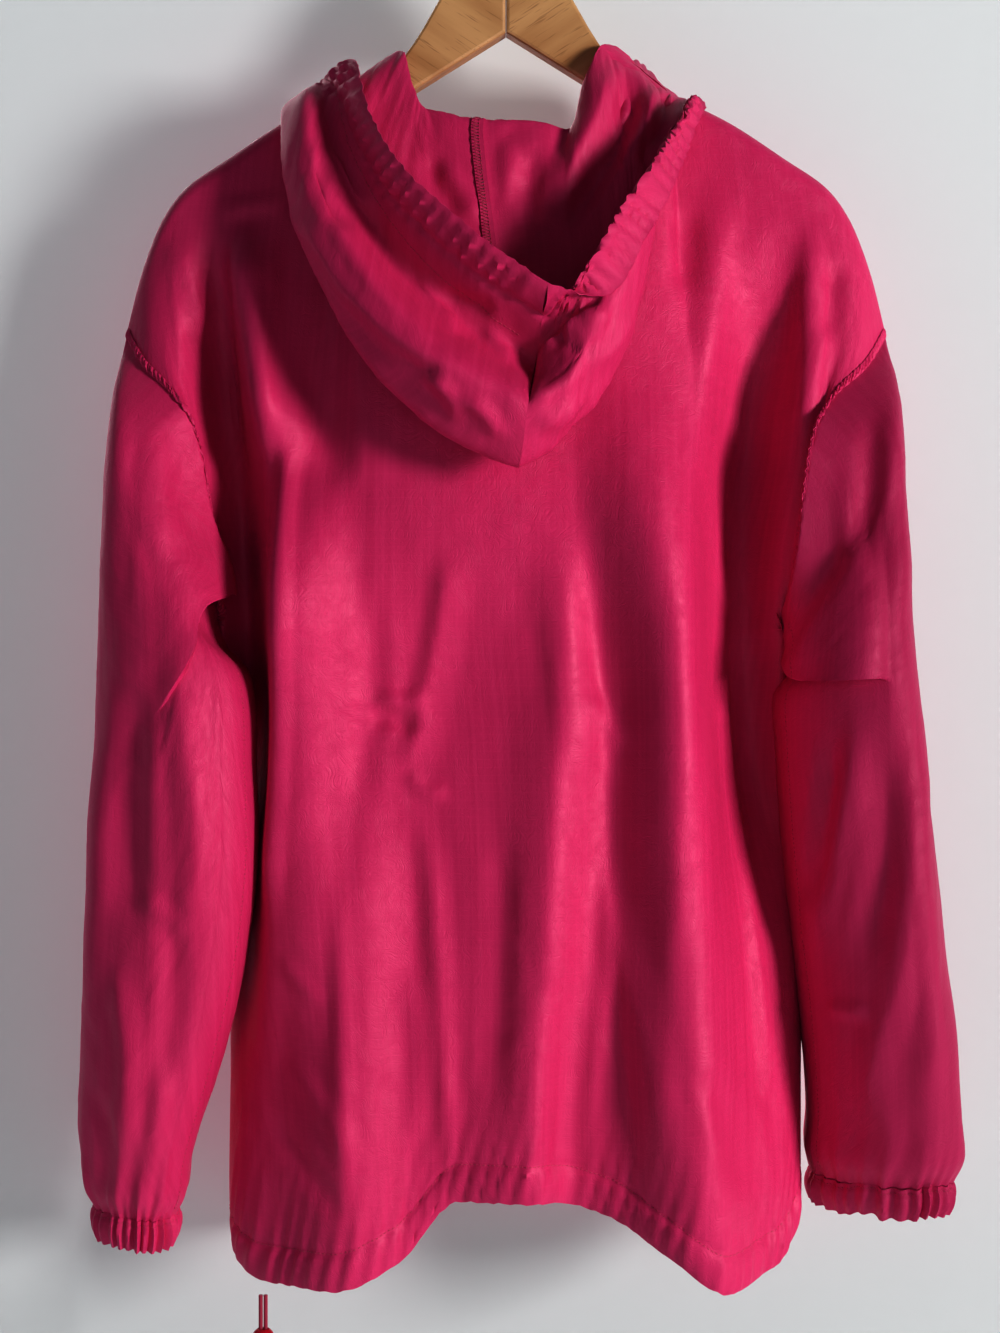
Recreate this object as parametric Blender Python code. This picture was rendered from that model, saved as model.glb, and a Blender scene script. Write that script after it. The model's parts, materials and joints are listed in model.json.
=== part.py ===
"""Anorak pullover in thin ripstop nylon, hung by its shoulders on a flat wooden hanger.

Metres, +Z up. The hanger's hook hangs at the origin. The garment's back, with the hood lying
down over it, faces -Y, and its front faces +Y. +X is the wearer's right-hand side.

Every cloth piece is a wall: a grid of points on its middle surface, thickened both ways along
the surface's normals. The rows of a panel run down it and the columns run across it.
"""

import math

import bmesh
import bpy
import numpy as np


def table(columns, *rows):
    """A table's columns by name, each an array with a value for every row."""
    return dict(zip(columns.split(), np.array(rows, float).T))


# ---- cloth --------------------------------------------------------------------------------
WALL = 0.0012
SEAM_GAP = 0.0004  # between two pieces that are sewn together
LAYER_STEP = 0.0020  # from the middle of a panel to the middle of the band that lies on it
ARMHOLE_GAP = 0.0013
NECK_GAP = 0.0029  # the neck seam is curved, and its pieces meet in short chords

# ---- shoulders and neck -------------------------------------------------------------------
NECK_SHARE = 0.50  # share of a panel's half width that the neck takes
NECK_HALF_WIDTH = 0.104
NECK_SIDE_Z = -0.163
NECK_BACK = {"reach": -0.030, "z": -0.214, "power": 3.0}
NECK_FRONT = {"reach": 0.038, "z": -0.262, "power": 2.5}
SHOULDER_ROUND = 0.012  # half the thickness of the shoulder where it wraps the hanger

# The shoulder line, from the neck to the top of the dropped armhole.
SHOULDER_LINE = table(
    "share x z",
    (0.50, 0.1040, -0.1630),
    (0.61, 0.1400, -0.1805),
    (0.71, 0.1747, -0.2030),
    (0.80, 0.2030, -0.2228),
    (0.87, 0.2170, -0.2420),
    (0.93, 0.2310, -0.2780),
    (1.00, 0.2405, -0.3160),
)

# ---- armhole ------------------------------------------------------------------------------
UNDERARM_Z = -0.500
# The armhole seam from the top of the shoulder to the underarm: how far down it is, how much of
# the way in towards the body, and how far out of the shoulder's middle plane.
ARMHOLE = table(
    "down inward reach",
    (0.00, 0.00, 0.000),
    (0.13, 0.28, 0.020),
    (0.22, 0.58, 0.030),
    (0.33, 0.80, 0.037),
    (0.45, 0.90, 0.041),
    (0.70, 0.97, 0.038),
    (0.90, 0.99, 0.024),
    (1.00, 1.00, 0.000),
)

ARMHOLE_POWER = 8  # the higher, the nearer to the seam the panel keeps to its own shape

# ---- body below the arms ------------------------------------------------------------------
# side is how far the side seams lie in front of the shoulders' plane, behind the sleeves.
BODY = table(
    "z left right back front side",
    (-0.500, -0.1745, 0.1745, 0.050, 0.046, 0.000),
    (-0.530, -0.1732, 0.1775, 0.053, 0.048, 0.017),
    (-0.570, -0.1770, 0.1845, 0.057, 0.050, 0.028),
    (-0.630, -0.1785, 0.1900, 0.061, 0.050, 0.035),
    (-0.700, -0.1785, 0.1920, 0.063, 0.050, 0.034),
    (-0.780, -0.1765, 0.1890, 0.063, 0.050, 0.022),
    (-0.860, -0.1755, 0.1865, 0.058, 0.049, 0.008),
    (-0.920, -0.1700, 0.1830, 0.052, 0.046, 0.004),
)
BODY_POWER = 2.4  # above 2, the section is fuller than an ellipse

# The height of the hem's edge at each share of a panel's half width.
HEM = table(
    "share back front",
    (-1.00, -0.888, -0.888),
    (-0.66, -0.905, -0.896),
    (-0.44, -0.904, -0.880),
    (-0.26, -0.888, -0.868),
    (-0.12, -0.851, -0.862),
    (0.02, -0.850, -0.866),
    (0.20, -0.860, -0.874),
    (0.34, -0.880, -0.884),
    (0.52, -0.902, -0.882),
    (0.70, -0.897, -0.870),
    (1.00, -0.858, -0.858),
)
HEM_CASING = 0.023

# ---- folds --------------------------------------------------------------------------------
# A fold runs down a panel through three points, and stands out of it by its height or, where
# that is below zero, sinks into it. Its width is the distance from its line to its foot.
BACK_FOLDS = table(
    "x1 z1 x2 z2 x3 z3 width height",
    (-0.136, -0.360, -0.147, -0.580, -0.152, -0.800, 0.020, 0.011),  # left ridge
    (-0.172, -0.250, -0.163, -0.440, -0.156, -0.640, 0.026, -0.017),  # left valley
    (-0.150, -0.260, -0.148, -0.330, -0.146, -0.400, 0.020, 0.009),  # left lobe
    (-0.128, -0.230, -0.118, -0.360, -0.112, -0.460, 0.026, -0.008),  # left inner valley
    (-0.085, -0.420, -0.098, -0.640, -0.108, -0.900, 0.040, 0.009),  # left band
    (-0.040, -0.440, -0.050, -0.640, -0.035, -0.930, 0.036, -0.012),  # middle trough
    (0.012, -0.480, 0.020, -0.680, 0.016, -0.900, 0.034, 0.007),  # middle ridge
    (0.064, -0.480, 0.086, -0.680, 0.060, -0.920, 0.034, -0.010),  # right trough
    (0.100, -0.330, 0.134, -0.600, 0.160, -0.900, 0.036, 0.010),  # right edge
    (0.176, -0.230, 0.122, -0.430, 0.150, -0.740, 0.034, -0.028),  # right valley
    (0.199, -0.255, 0.173, -0.400, 0.166, -0.520, 0.020, 0.010),  # right ridge
)
FRONT_FOLDS = table(
    "x1 z1 x2 z2 x3 z3 width height",
    (-0.150, -0.300, -0.138, -0.560, -0.140, -0.860, 0.026, 0.012),  # left ridge
    (-0.172, -0.280, -0.164, -0.420, -0.158, -0.600, 0.022, -0.014),  # left valley
    (-0.085, -0.360, -0.095, -0.600, -0.080, -0.920, 0.034, -0.013),  # left trough
    (-0.024, -0.420, -0.036, -0.640, -0.030, -0.900, 0.034, 0.009),  # middle ridge
    (0.032, -0.440, 0.024, -0.660, 0.030, -0.920, 0.034, -0.012),  # middle trough
    (0.078, -0.330, 0.094, -0.600, 0.088, -0.900, 0.038, 0.011),  # right ridge
    (0.168, -0.250, 0.138, -0.480, 0.146, -0.760, 0.030, -0.018),  # right valley
)

FOLD_ROOM = 0.030  # a fold has its whole height where the panel is this deep
HEM_FOLDS = -0.85  # a fold that ends below this runs out through the hem
FOLD_START = 0.25  # share of a fold's length over which it rises
FOLD_END = 0.30  # and over which it dies away

# ---- neck slit at the front ---------------------------------------------------------------
SLIT_LENGTH = 0.160
SLIT_HALF_WIDTH = 0.0008

# ---- sleeves ------------------------------------------------------------------------------
# One row for each ring below the armhole: x and z of its outer and its inner end, the y of both
# ends, and how far the ring reaches from there to the back and to the front.
LEFT_SLEEVE = table(
    "outer_x outer_z inner_x inner_z middle_y back front",
    (-0.2475, -0.352, -0.1780, -0.508, -0.002, 0.048, 0.043),
    (-0.2538, -0.419, -0.1765, -0.516, -0.007, 0.053, 0.044),
    (-0.2580, -0.470, -0.1735, -0.528, -0.012, 0.054, 0.044),
    (-0.2600, -0.520, -0.1695, -0.548, -0.016, 0.052, 0.043),
    (-0.2610, -0.575, -0.1670, -0.585, -0.019, 0.050, 0.042),
    (-0.2630, -0.640, -0.1665, -0.640, -0.020, 0.048, 0.042),
    (-0.2660, -0.710, -0.1685, -0.706, -0.018, 0.046, 0.042),
    (-0.2690, -0.775, -0.1760, -0.768, -0.014, 0.044, 0.042),
    (-0.2690, -0.825, -0.1890, -0.820, -0.009, 0.040, 0.039),
    (-0.2610, -0.862, -0.2040, -0.860, -0.005, 0.032, 0.031),
)
RIGHT_SLEEVE = table(
    "outer_x outer_z inner_x inner_z middle_y back front",
    (0.2460, -0.352, 0.1785, -0.508, -0.002, 0.048, 0.043),
    (0.2490, -0.419, 0.1770, -0.516, -0.007, 0.054, 0.044),
    (0.2510, -0.476, 0.1780, -0.528, -0.012, 0.056, 0.044),
    (0.2545, -0.530, 0.1765, -0.543, -0.015, 0.054, 0.043),
    (0.2600, -0.572, 0.1800, -0.572, -0.018, 0.047, 0.042),
    (0.2690, -0.640, 0.1835, -0.640, -0.019, 0.046, 0.042),
    (0.2755, -0.710, 0.1860, -0.706, -0.017, 0.045, 0.042),
    (0.2805, -0.775, 0.1910, -0.770, -0.013, 0.044, 0.042),
    (0.2800, -0.815, 0.1940, -0.814, -0.009, 0.041, 0.040),
    (0.2730, -0.840, 0.1980, -0.846, -0.005, 0.033, 0.032),
)
# A fold of the upper sleeve that hangs over the lower sleeve. turn is where it lies round the
# sleeve, 0 outside and 90 at the back, and lean is how far round from there it swells towards.
SLEEVE_FOLDS = table(
    "turn spread lean top_z bottom_z height",
    (122, 50, 34, -0.375, -0.474, 0.020),  # left
    (118, 56, 12, -0.395, -0.545, 0.013),  # right
)
LEFT, RIGHT = 0, 1  # rows of the table of sleeve folds
SLEEVE_FOLD_TUCK = 0.014  # how soon the cloth turns back in below the fold
CUFF_HEIGHT = 0.020
CUFF_PLEATS = 17
CUFF_GATHER = 0.0011
CUFF_SWELL = 0.0025

# ---- hood ---------------------------------------------------------------------------------
# The hood lies down: from the neck seam it rises to its crest, turns over and runs down inside
# itself to its base, and comes up again outside to the rim of its face opening. One row for
# each section round the neck. The turn is 0 at the middle of the back, -90 over the left
# shoulder and 90 over the right. The inner layer sags by the sink, and the outer one swells to
# the back by the belly and upwards by the rise.
HOOD_COLUMNS = (
    "turn crest_x crest_y crest_z base_x base_y base_z rim_x rim_y rim_z sink belly rise"
)
HOOD_MIDDLE = (
    0, -0.013, -0.031, -0.187, 0.007, -0.081, -0.407, 0.024, -0.096, -0.303, 0.000, 0.016, 0.000
)  # fmt: skip
HOOD_LEFT = table(
    HOOD_COLUMNS,
    (-179, -0.004, 0.056, -0.236, -0.008, 0.064, -0.241, -0.010, 0.068, -0.246, 0, 0, 0),
    (-150, -0.052, 0.054, -0.196, -0.066, 0.070, -0.206, -0.070, 0.074, -0.214, 0, 0, 0),
    (-120, -0.084, 0.034, -0.150, -0.114, 0.042, -0.174, -0.106, 0.056, -0.160, 0.003, -0.003, 0.003),
    (-98, -0.074, 0.006, -0.138, -0.134, 0.006, -0.167, -0.099, 0.012, -0.148, 0.005, -0.002, 0.005),
    (-84, -0.066, -0.013, -0.142, -0.139, -0.030, -0.188, -0.091, -0.030, -0.156, 0.003, 0.006, 0.004),
    (-70, -0.060, -0.022, -0.163, -0.128, -0.057, -0.255, -0.080, -0.057, -0.198, 0, 0.012, 0),
    (-52, -0.052, -0.027, -0.177, -0.093, -0.072, -0.328, -0.060, -0.077, -0.232, 0, 0.016, 0),
    (-28, -0.035, -0.030, -0.183, -0.048, -0.080, -0.379, -0.022, -0.090, -0.269, 0, 0.018, 0),
    HOOD_MIDDLE,
)  # fmt: skip
HOOD_RIGHT = table(
    HOOD_COLUMNS,
    HOOD_MIDDLE,
    (28, 0.021, -0.031, -0.188, 0.040, -0.080, -0.384, 0.050, -0.097, -0.307, 0, 0.012, 0),
    (52, 0.042, -0.029, -0.196, 0.066, -0.076, -0.345, 0.073, -0.091, -0.297, 0, 0.007, 0),
    (70, 0.054, -0.021, -0.163, 0.081, -0.067, -0.300, 0.089, -0.077, -0.262, 0, 0.003, 0),
    (84, 0.063, -0.013, -0.137, 0.092, -0.050, -0.240, 0.102, -0.056, -0.222, 0, 0.001, 0),
    (98, 0.076, 0.006, -0.137, 0.112, -0.029, -0.178, 0.123, -0.030, -0.166, 0, 0.001, 0),
    (120, 0.092, 0.038, -0.150, 0.114, 0.036, -0.160, 0.122, 0.038, -0.164, 0, 0, 0),
    (150, 0.055, 0.054, -0.197, 0.068, 0.070, -0.206, 0.073, 0.074, -0.214, 0, 0, 0),
    (179, 0.004, 0.056, -0.236, 0.008, 0.064, -0.241, 0.010, 0.068, -0.246, 0, 0, 0),
)  # fmt: skip
HOOD_CASING = 0.024
HOOD_SECTIONS = 17
# Where the points of a section lie on its length, and where the rows of the grid are read.
HOOD_KNOTS = np.array([0, 0.12, 0.36, 0.58, 0.79, 1.0])
HOOD_ROWS = np.array([0, 0.06, 0.13, 0.22, 0.34, 0.47, 0.57, 0.64, 0.72, 0.85, 1.0])
CASING_SHARE = 0.42  # the most that the casing takes of a short section

# ---- hem cord: a loop of round elastic that hangs out of the hem casing --------------------
CORD = 0.0025
CORD_PAIR = 0.0030  # between the middles of the two strands
CORD_EXIT = (-0.1480, -0.0480, -0.9070)
CORD_LOOP = 0.0056  # half the width of the loop below the stopper
CORD_FLARE = 0.013
STOPPER_TOP = 0.0195  # below the exit
STOPPER = {"radius": 0.0070, "height": 0.014}
STOPPER_SLOT = {"x": 0.0064, "y": 0.0034}

# ---- hanger -------------------------------------------------------------------------------
ARM_THICK = 0.014
ARM_EDGE = 0.002
JOINT_GAP = 0.0003
# The right arm's outline: its upper edge from the middle out, its tip, and its lower edge back.
ARM_UPPER = table(
    "x z",
    (0.0000, -0.068),
    (0.0140, -0.070),
    (0.0290, -0.082),
    (0.0410, -0.102),
    (0.0580, -0.131),
    (0.0760, -0.152),
    (0.1040, -0.171),
    (0.1420, -0.190),
    (0.1760, -0.213),
    (0.2000, -0.232),
)
ARM_UPPER_POINTS = 28
ARM_TIP = ((0.2070, -0.2410), (0.2085, -0.2480), (0.2050, -0.2545), (0.1980, -0.2555))
ARM_LOWER = ((0.1700, -0.2380), (0.1100, -0.1960), (0.0550, -0.1590), (0.0000, -0.1247))
WIRE = 0.0034
HOOK_RADIUS = 0.020
HOOK_START = math.radians(-48)
HOOK_END = math.radians(196)
HOOK_STEM = ((0.0000, -0.0677), (0.0000, -0.0580), (0.0030, -0.0480))

NYLON = (0.434, 0.022, 0.078, 1.0)
BEAD_RED = (0.560, 0.020, 0.045, 1.0)
WOOD = (0.640, 0.420, 0.235, 1.0)
STEEL = (0.620, 0.620, 0.620, 1.0)


# ---- tools --------------------------------------------------------------------------------
def smooth(knots, values, at):
    """Values at the places given, on a smooth curve through the knots that never overshoots."""
    knots, values, at = (np.asarray(each, float) for each in (knots, values, at))
    step = np.diff(knots)
    chord = np.diff(values) / step
    before, after = chord[:-1], chord[1:]
    same = before * after > 0
    mean = np.zeros_like(before)
    mean[same] = 2 * before[same] * after[same] / (before[same] + after[same])
    slope = np.concatenate([chord[:1], mean, chord[-1:]])
    i = np.clip(np.searchsorted(knots, at, side="right") - 1, 0, len(step) - 1)
    u = np.clip((at - knots[i]) / step[i], 0, 1)
    return (
        (1 + 2 * u) * (1 - u) ** 2 * values[i]
        + u * (1 - u) ** 2 * step[i] * slope[i]
        + u * u * (3 - 2 * u) * values[i + 1]
        + u * u * (u - 1) * step[i] * slope[i + 1]
    )


def flowing(knots, points, at):
    """Points on a smooth curve through the knots, free to swing wide of them (Catmull-Rom)."""
    knots, points, at = (np.asarray(each, float) for each in (knots, points, at))
    step = np.diff(knots)[:, None]
    chord = np.diff(points, axis=0) / step
    inner = (chord[:-1] * step[1:] + chord[1:] * step[:-1]) / (step[:-1] + step[1:])
    slope = np.vstack([chord[:1], inner, chord[-1:]])
    i = np.clip(np.searchsorted(knots, at, side="right") - 1, 0, len(step) - 1)
    u = ((at - knots[i]) / step[i, 0])[:, None]
    return (
        (1 + 2 * u) * (1 - u) ** 2 * points[i]
        + u * (1 - u) ** 2 * step[i] * slope[i]
        + u * u * (3 - 2 * u) * points[i + 1]
        + u * u * (u - 1) * step[i] * slope[i + 1]
    )


def ease(share):
    """0 to 1 with a soft start and a soft end."""
    share = np.clip(share, 0, 1)
    return share * share * (3 - 2 * share)


def unit(vectors):
    return vectors / np.maximum(np.linalg.norm(vectors, axis=-1, keepdims=True), 1e-12)


def finish(name, colour, roughness, metallic=0.0):
    material = bpy.data.materials.new(name)
    material.use_nodes = True
    shader = material.node_tree.nodes["Principled BSDF"]
    shader.inputs["Base Color"].default_value = colour
    shader.inputs["Roughness"].default_value = roughness
    shader.inputs["Metallic"].default_value = metallic
    material.diffuse_color = colour
    return material


def nylon(name):
    return finish(name + "_nylon", NYLON, 0.42)


def add_object(name, data, material):
    obj = bpy.data.objects.new(name, data)
    obj.data.materials.append(material)
    bpy.context.scene.collection.objects.link(obj)
    return obj


def normals_of(grid, ring=False):
    """The unit normal at each point of a grid (rows, columns, 3)."""
    down = np.gradient(grid, axis=0)
    if ring:
        across = np.roll(grid, -1, axis=1) - np.roll(grid, 1, axis=1)
    else:
        across = np.gradient(grid, axis=1)
    return unit(np.cross(across, down))


def wall(name, grid, normals, material, ring=False, skip=()):
    """A closed solid from a grid: its points moved half a wall each way along the normals, and
    a rim wherever the grid ends. skip holds the (row, column) of each cell left open."""
    rows, columns = grid.shape[:2]
    outer = (grid + normals * WALL / 2).reshape(-1, 3)
    inner = (grid - normals * WALL / 2).reshape(-1, 3)
    wide = columns if ring else columns - 1
    cells = []
    for r in range(rows - 1):
        for c in range(wide):
            if (r, c) not in skip:
                d = (c + 1) % columns
                cells.append((r * columns + c, r * columns + d,
                              (r + 1) * columns + d, (r + 1) * columns + c))  # fmt: skip
    edges = {}
    for cell in cells:
        for a, b in zip(cell, cell[1:] + cell[:1]):
            edges[a, b] = True
    count = len(outer)
    faces = list(cells)
    faces += [tuple(i + count for i in reversed(cell)) for cell in cells]
    faces += [(b, a, a + count, b + count) for a, b in edges if (b, a) not in edges]
    mesh = bpy.data.meshes.new(name)
    mesh.from_pydata(np.vstack([outer, inner]).tolist(), [], faces)
    body = bmesh.new()
    body.from_mesh(mesh)
    loose = [v for v in body.verts if not v.link_faces]
    bmesh.ops.delete(body, geom=loose, context="VERTS")
    bmesh.ops.triangulate(body, faces=body.faces[:])
    bmesh.ops.recalc_face_normals(body, faces=body.faces[:])
    if body.calc_volume(signed=True) < 0:
        bmesh.ops.reverse_faces(body, faces=body.faces[:])
    body.to_mesh(mesh)
    body.free()
    mesh.shade_smooth()
    mesh.set_sharp_from_angle(angle=math.radians(50))
    return add_object(name, mesh, material)


# ---- body panels --------------------------------------------------------------------------
BACK_COLUMNS = 33
FRONT_COLUMNS = 23
ARM_ROWS = np.array([0, 0.022, 0.065, 0.13, 0.21, 0.31, 0.43, 0.56, 0.70, 0.85, 1.0])
LOW_ROWS = np.linspace(0, 1, 8)[1:]  # down to the hem casing's seam
CASING_ROWS = (0.5, 0.0)  # shares of the casing's height above the edge


def neck_point(turn, side):
    """A point of the neck edge: turn is -90 degrees at the left shoulder and 90 at the right."""
    across = np.sin(np.radians(turn))
    out = np.abs(np.cos(np.radians(turn)))
    shape = NECK_BACK if side < 0 else NECK_FRONT
    rise = np.abs(across) ** shape["power"]
    z = shape["z"] + (NECK_SIDE_Z - shape["z"]) * rise
    return np.stack([NECK_HALF_WIDTH * across, shape["reach"] * out, z], axis=-1)


def top_edge(share, side):
    """The panel's top edge at each share of its half width, -1 at the left armhole."""
    size = np.abs(share)
    edge = neck_point(np.clip(share / NECK_SHARE, -1, 1) * 90, side)
    on_shoulder = size > NECK_SHARE
    x = np.sign(share) * smooth(SHOULDER_LINE["share"], SHOULDER_LINE["x"], size)
    z = smooth(SHOULDER_LINE["share"], SHOULDER_LINE["z"], size)
    edge[on_shoulder] = np.stack([x, 0 * x, z], axis=-1)[on_shoulder]
    return edge


def body_size(name, z):
    return smooth(-BODY["z"], BODY[name], -z)


def section(share, z, side):
    """A body section below the arms: the share goes from -1 at the left side seam to 1."""
    left, right = body_size("left", z), body_size("right", z)
    across = np.sin(share * math.pi / 2)
    depth = body_size("back" if side < 0 else "front", z)
    full = (1 - np.abs(across) ** BODY_POWER).clip(0) ** (1 / BODY_POWER)
    x = (left + right) / 2 + (right - left) / 2 * across
    return x, side * depth * full + body_size("side", z) * across**2


def folded(x, y, z, share, folds, side, plane=0.0):
    """Adds the folds to a panel's depth. They fade where the panel nears its seams."""
    depth = side * (y - plane)
    room = ease(depth / FOLD_ROOM)
    for x1, z1, x2, z2, x3, z3, width, height in zip(*folds.values()):
        line = smooth((-z1, -z2, -z3), (x1, x2, x3), -z)
        away = np.abs(x - line) / width
        across = np.where(away < 1, (1 - away**2) ** 2, 0)
        along = np.clip((z1 - z) / (z1 - z3), 0, 1)
        end = 1 if z3 < HEM_FOLDS else ease((1 - along) / FOLD_END)
        y = y + side * height * across * ease(along / FOLD_START) * end * room
    return y


def panel(side, shares, folds):
    """The middle surface of the back panel (side -1) or of the front panel (side 1)."""
    hem_z = smooth(HEM["share"], HEM["back" if side < 0 else "front"], shares)
    top = top_edge(shares, side)
    chest_x, chest_y = section(shares, np.full_like(shares, UNDERARM_Z), side)
    size = np.abs(shares)
    at_armhole = size**ARMHOLE_POWER
    on_neck = np.cos(np.clip(shares / NECK_SHARE, -1, 1) * math.pi / 2)
    rows = []
    for down in ARM_ROWS:
        inward = smooth(ARMHOLE["down"], ARMHOLE["inward"], down)
        reach = smooth(ARMHOLE["down"], ARMHOLE["reach"], down)
        z = top[:, 2] + (UNDERARM_Z - top[:, 2]) * down
        turn = inward * at_armhole + ease(down) * (1 - at_armhole)
        x = top[:, 0] + (chest_x - top[:, 0]) * turn
        drop = top[:, 2] - z
        wrap = np.sqrt(1 - np.clip(1 - drop / SHOULDER_ROUND, 0, 1) ** 2)
        over = np.abs(top[:, 1]) + SHOULDER_ROUND * wrap * (1 - on_neck)
        hung = over + (np.abs(chest_y) - over) * ease(down)
        y = side * (reach * at_armhole + hung * (1 - at_armhole))
        rows.append(np.stack([x, folded(x, y, z, shares, folds, side), z], axis=-1))
    seam_z = hem_z + HEM_CASING
    heights = [UNDERARM_Z + (seam_z - UNDERARM_Z) * down for down in LOW_ROWS]
    heights += [hem_z + HEM_CASING * share for share in CASING_ROWS]
    for z in heights:
        x, y = section(shares, z, side)
        lag = body_size("side", z) * np.sin(shares * math.pi / 2) ** 2
        rows.append(np.stack([x, folded(x, y, z, shares, folds, side, lag), z], axis=-1))
    return np.array(rows)


def panel_normals(grid, side):
    """Normals that agree with the other panel's where the two are sewn together."""
    normals = normals_of(grid) * side
    arm = len(ARM_ROWS)
    along = np.gradient(grid[0], axis=0)
    up = unit(np.stack([-along[:, 2], 0 * along[:, 2], along[:, 0]], axis=-1))
    on_shoulder = np.abs(grid[0, :, 1]) < 1e-6
    normals[0][on_shoulder] = up[on_shoulder]
    normals[arm - 1 :, 0] = (-1, 0, 0)
    normals[arm - 1 :, -1] = (1, 0, 0)
    return normals


def with_gaps(grid, side):
    """Draws the sewn edges back, so that each seam has its gap."""
    grid = grid.copy()
    arm = len(ARM_ROWS)
    on_shoulder = np.abs(grid[0, :, 1]) < 1e-6
    grid[0, on_shoulder, 1] = side * SEAM_GAP / 2
    grid[arm - 1 :, [0, -1], 1] += side * SEAM_GAP / 2
    return grid


def make_casing(name, grid, normals):
    """A casing turned in along a panel's last rows, which lies on the panel's inner side."""
    rows = 1 + len(CASING_ROWS)
    out = normals[-rows:]
    wall(name, grid[-rows:] - out * LAYER_STEP, out, nylon(name))


# ---- pieces -------------------------------------------------------------------------------
def make_panel(name, side, columns, folds, slit=False):
    shares = np.linspace(-1, 1, columns)
    middle = columns // 2
    if slit:
        edge = SLIT_HALF_WIDTH / NECK_HALF_WIDTH
        shares = np.concatenate([shares[:middle], [-edge, edge], shares[middle + 1 :]])
    grid = panel(side, shares, folds)
    skip = ()
    if slit:
        depth = grid[0, middle, 2] - grid[:, middle, 2]
        last = int(np.argmin(np.abs(depth - SLIT_LENGTH)))
        skip = {(row, middle) for row in range(last)}
        grid[:, middle, 0] = -SLIT_HALF_WIDTH
        grid[:, middle + 1, 0] = SLIT_HALF_WIDTH
    normals = panel_normals(grid, side)
    grid = with_gaps(grid, side)
    wall(name, grid, normals, nylon(name), skip=skip)
    return grid, normals


def sleeve_fold(ring, turns, fold):
    """How far the sleeve's fold, given by its row, moves each point of a ring."""
    turn, spread, lean, top_z, bottom_z, height = (each[fold] for each in SLEEVE_FOLDS.values())
    hand = -1 if fold == LEFT else 1
    away = np.abs(np.degrees(turns) - turn) / spread
    round_it = np.where(away < 1, (1 - away**2) ** 2, 0)
    grown = ease((top_z - ring[:, 2]) / (top_z - bottom_z))
    tucked = 1 - ease((bottom_z - ring[:, 2]) / SLEEVE_FOLD_TUCK)
    way = math.radians(turn + lean)
    towards = np.array((hand * math.cos(way), -math.sin(way), 0))
    return towards * (height * round_it * grown * tucked)[:, None]


def make_sleeve(name, rings, fold, back, front, edge):
    """A sleeve from the armhole down. Column 0 is a ring's outer end, then come its back, its
    inner end and its front. The first ring lies along the panels' armhole edges."""
    arm = len(ARM_ROWS)
    (back_grid, back_normals), (front_grid, front_normals) = back, front
    beside = 1 if edge == 0 else -2
    loop = np.vstack([back_grid[:arm, edge], front_grid[arm - 2 : 0 : -1, edge]])
    inside = np.vstack([back_grid[:arm, beside], front_grid[arm - 2 : 0 : -1, beside]])
    out = np.vstack([back_normals[:arm, edge], front_normals[arm - 2 : 0 : -1, edge]])
    loop[[0, arm - 1], 1] = 0
    inside[[0, arm - 1], 1] = 0
    first = loop + unit(loop - inside) * ARMHOLE_GAP
    first[arm - 1] += (0, 0, -ARMHOLE_GAP)
    back_turns = np.arccos(1 - 2 * ARM_ROWS)
    turns = np.concatenate([back_turns, 2 * math.pi - back_turns[arm - 2 : 0 : -1]])
    even = np.linspace(0, 2 * math.pi, len(turns), endpoint=False)
    grid = [first]
    for i, (ox, oz, ix, iz, y, to_back, to_front) in enumerate(zip(*rings.values())):
        turn = turns + (even - turns) * ease((i + 1) / 5)
        outer, inner = np.array((ox, y, oz)), np.array((ix, y, iz))
        ring = (outer + inner) / 2 + (outer - inner) / 2 * np.cos(turn)[:, None]
        ring[:, 1] -= np.sin(turn) * np.where(np.sin(turn) > 0, to_back, to_front)
        grid.append(ring + sleeve_fold(ring, turn, fold))
    grid = np.array(grid)
    normals = normals_of(grid, ring=True) * (1 if edge == 0 else -1)
    normals[0] = out
    wall(name, grid, normals, nylon(name), ring=True)
    return grid


def make_cuff(name, sleeve):
    """An elastic cuff below the sleeve's last ring, gathered into small pleats."""
    low, above = sleeve[-1], sleeve[-2]
    middle = low.mean(axis=0)
    down = unit(middle - above.mean(axis=0))
    count = 2 * CUFF_PLEATS
    places = np.linspace(0, len(low), count, endpoint=False)
    closed = np.vstack([low, low[:1]])
    ring = np.stack([np.interp(places, range(len(closed)), closed[:, k]) for k in range(3)], axis=-1)
    out = unit(ring - middle)
    pleat = CUFF_GATHER * np.cos(np.arange(count) * math.pi)[:, None]
    rows = []
    for share, swell, gathered in ((0, 0, 0.3), (0.5, 1, 1), (1, -0.5, 0.6)):
        drop = 2 * SEAM_GAP + CUFF_HEIGHT * share
        rows.append(ring + down * drop + out * (CUFF_SWELL * swell + pleat * gathered))
    grid = np.array(rows)
    sign = 1 if middle[0] < 0 else -1
    wall(name, grid, normals_of(grid, ring=True) * sign, nylon(name), ring=True)


def neck_frame(turn):
    """At one turn round the neck: the hood's sewn point, just clear of the panels' edge."""
    side = -1 if abs(turn) <= 90 else 1
    from_back = turn if side < 0 else math.copysign(180, turn) - turn
    share = np.array([from_back / 90 * NECK_SHARE])
    folds = BACK_FOLDS if side < 0 else FRONT_FOLDS
    near = panel(side, share, folds)[:2, 0]
    return near[0] + unit(near[0] - near[1]) * NECK_GAP


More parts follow.
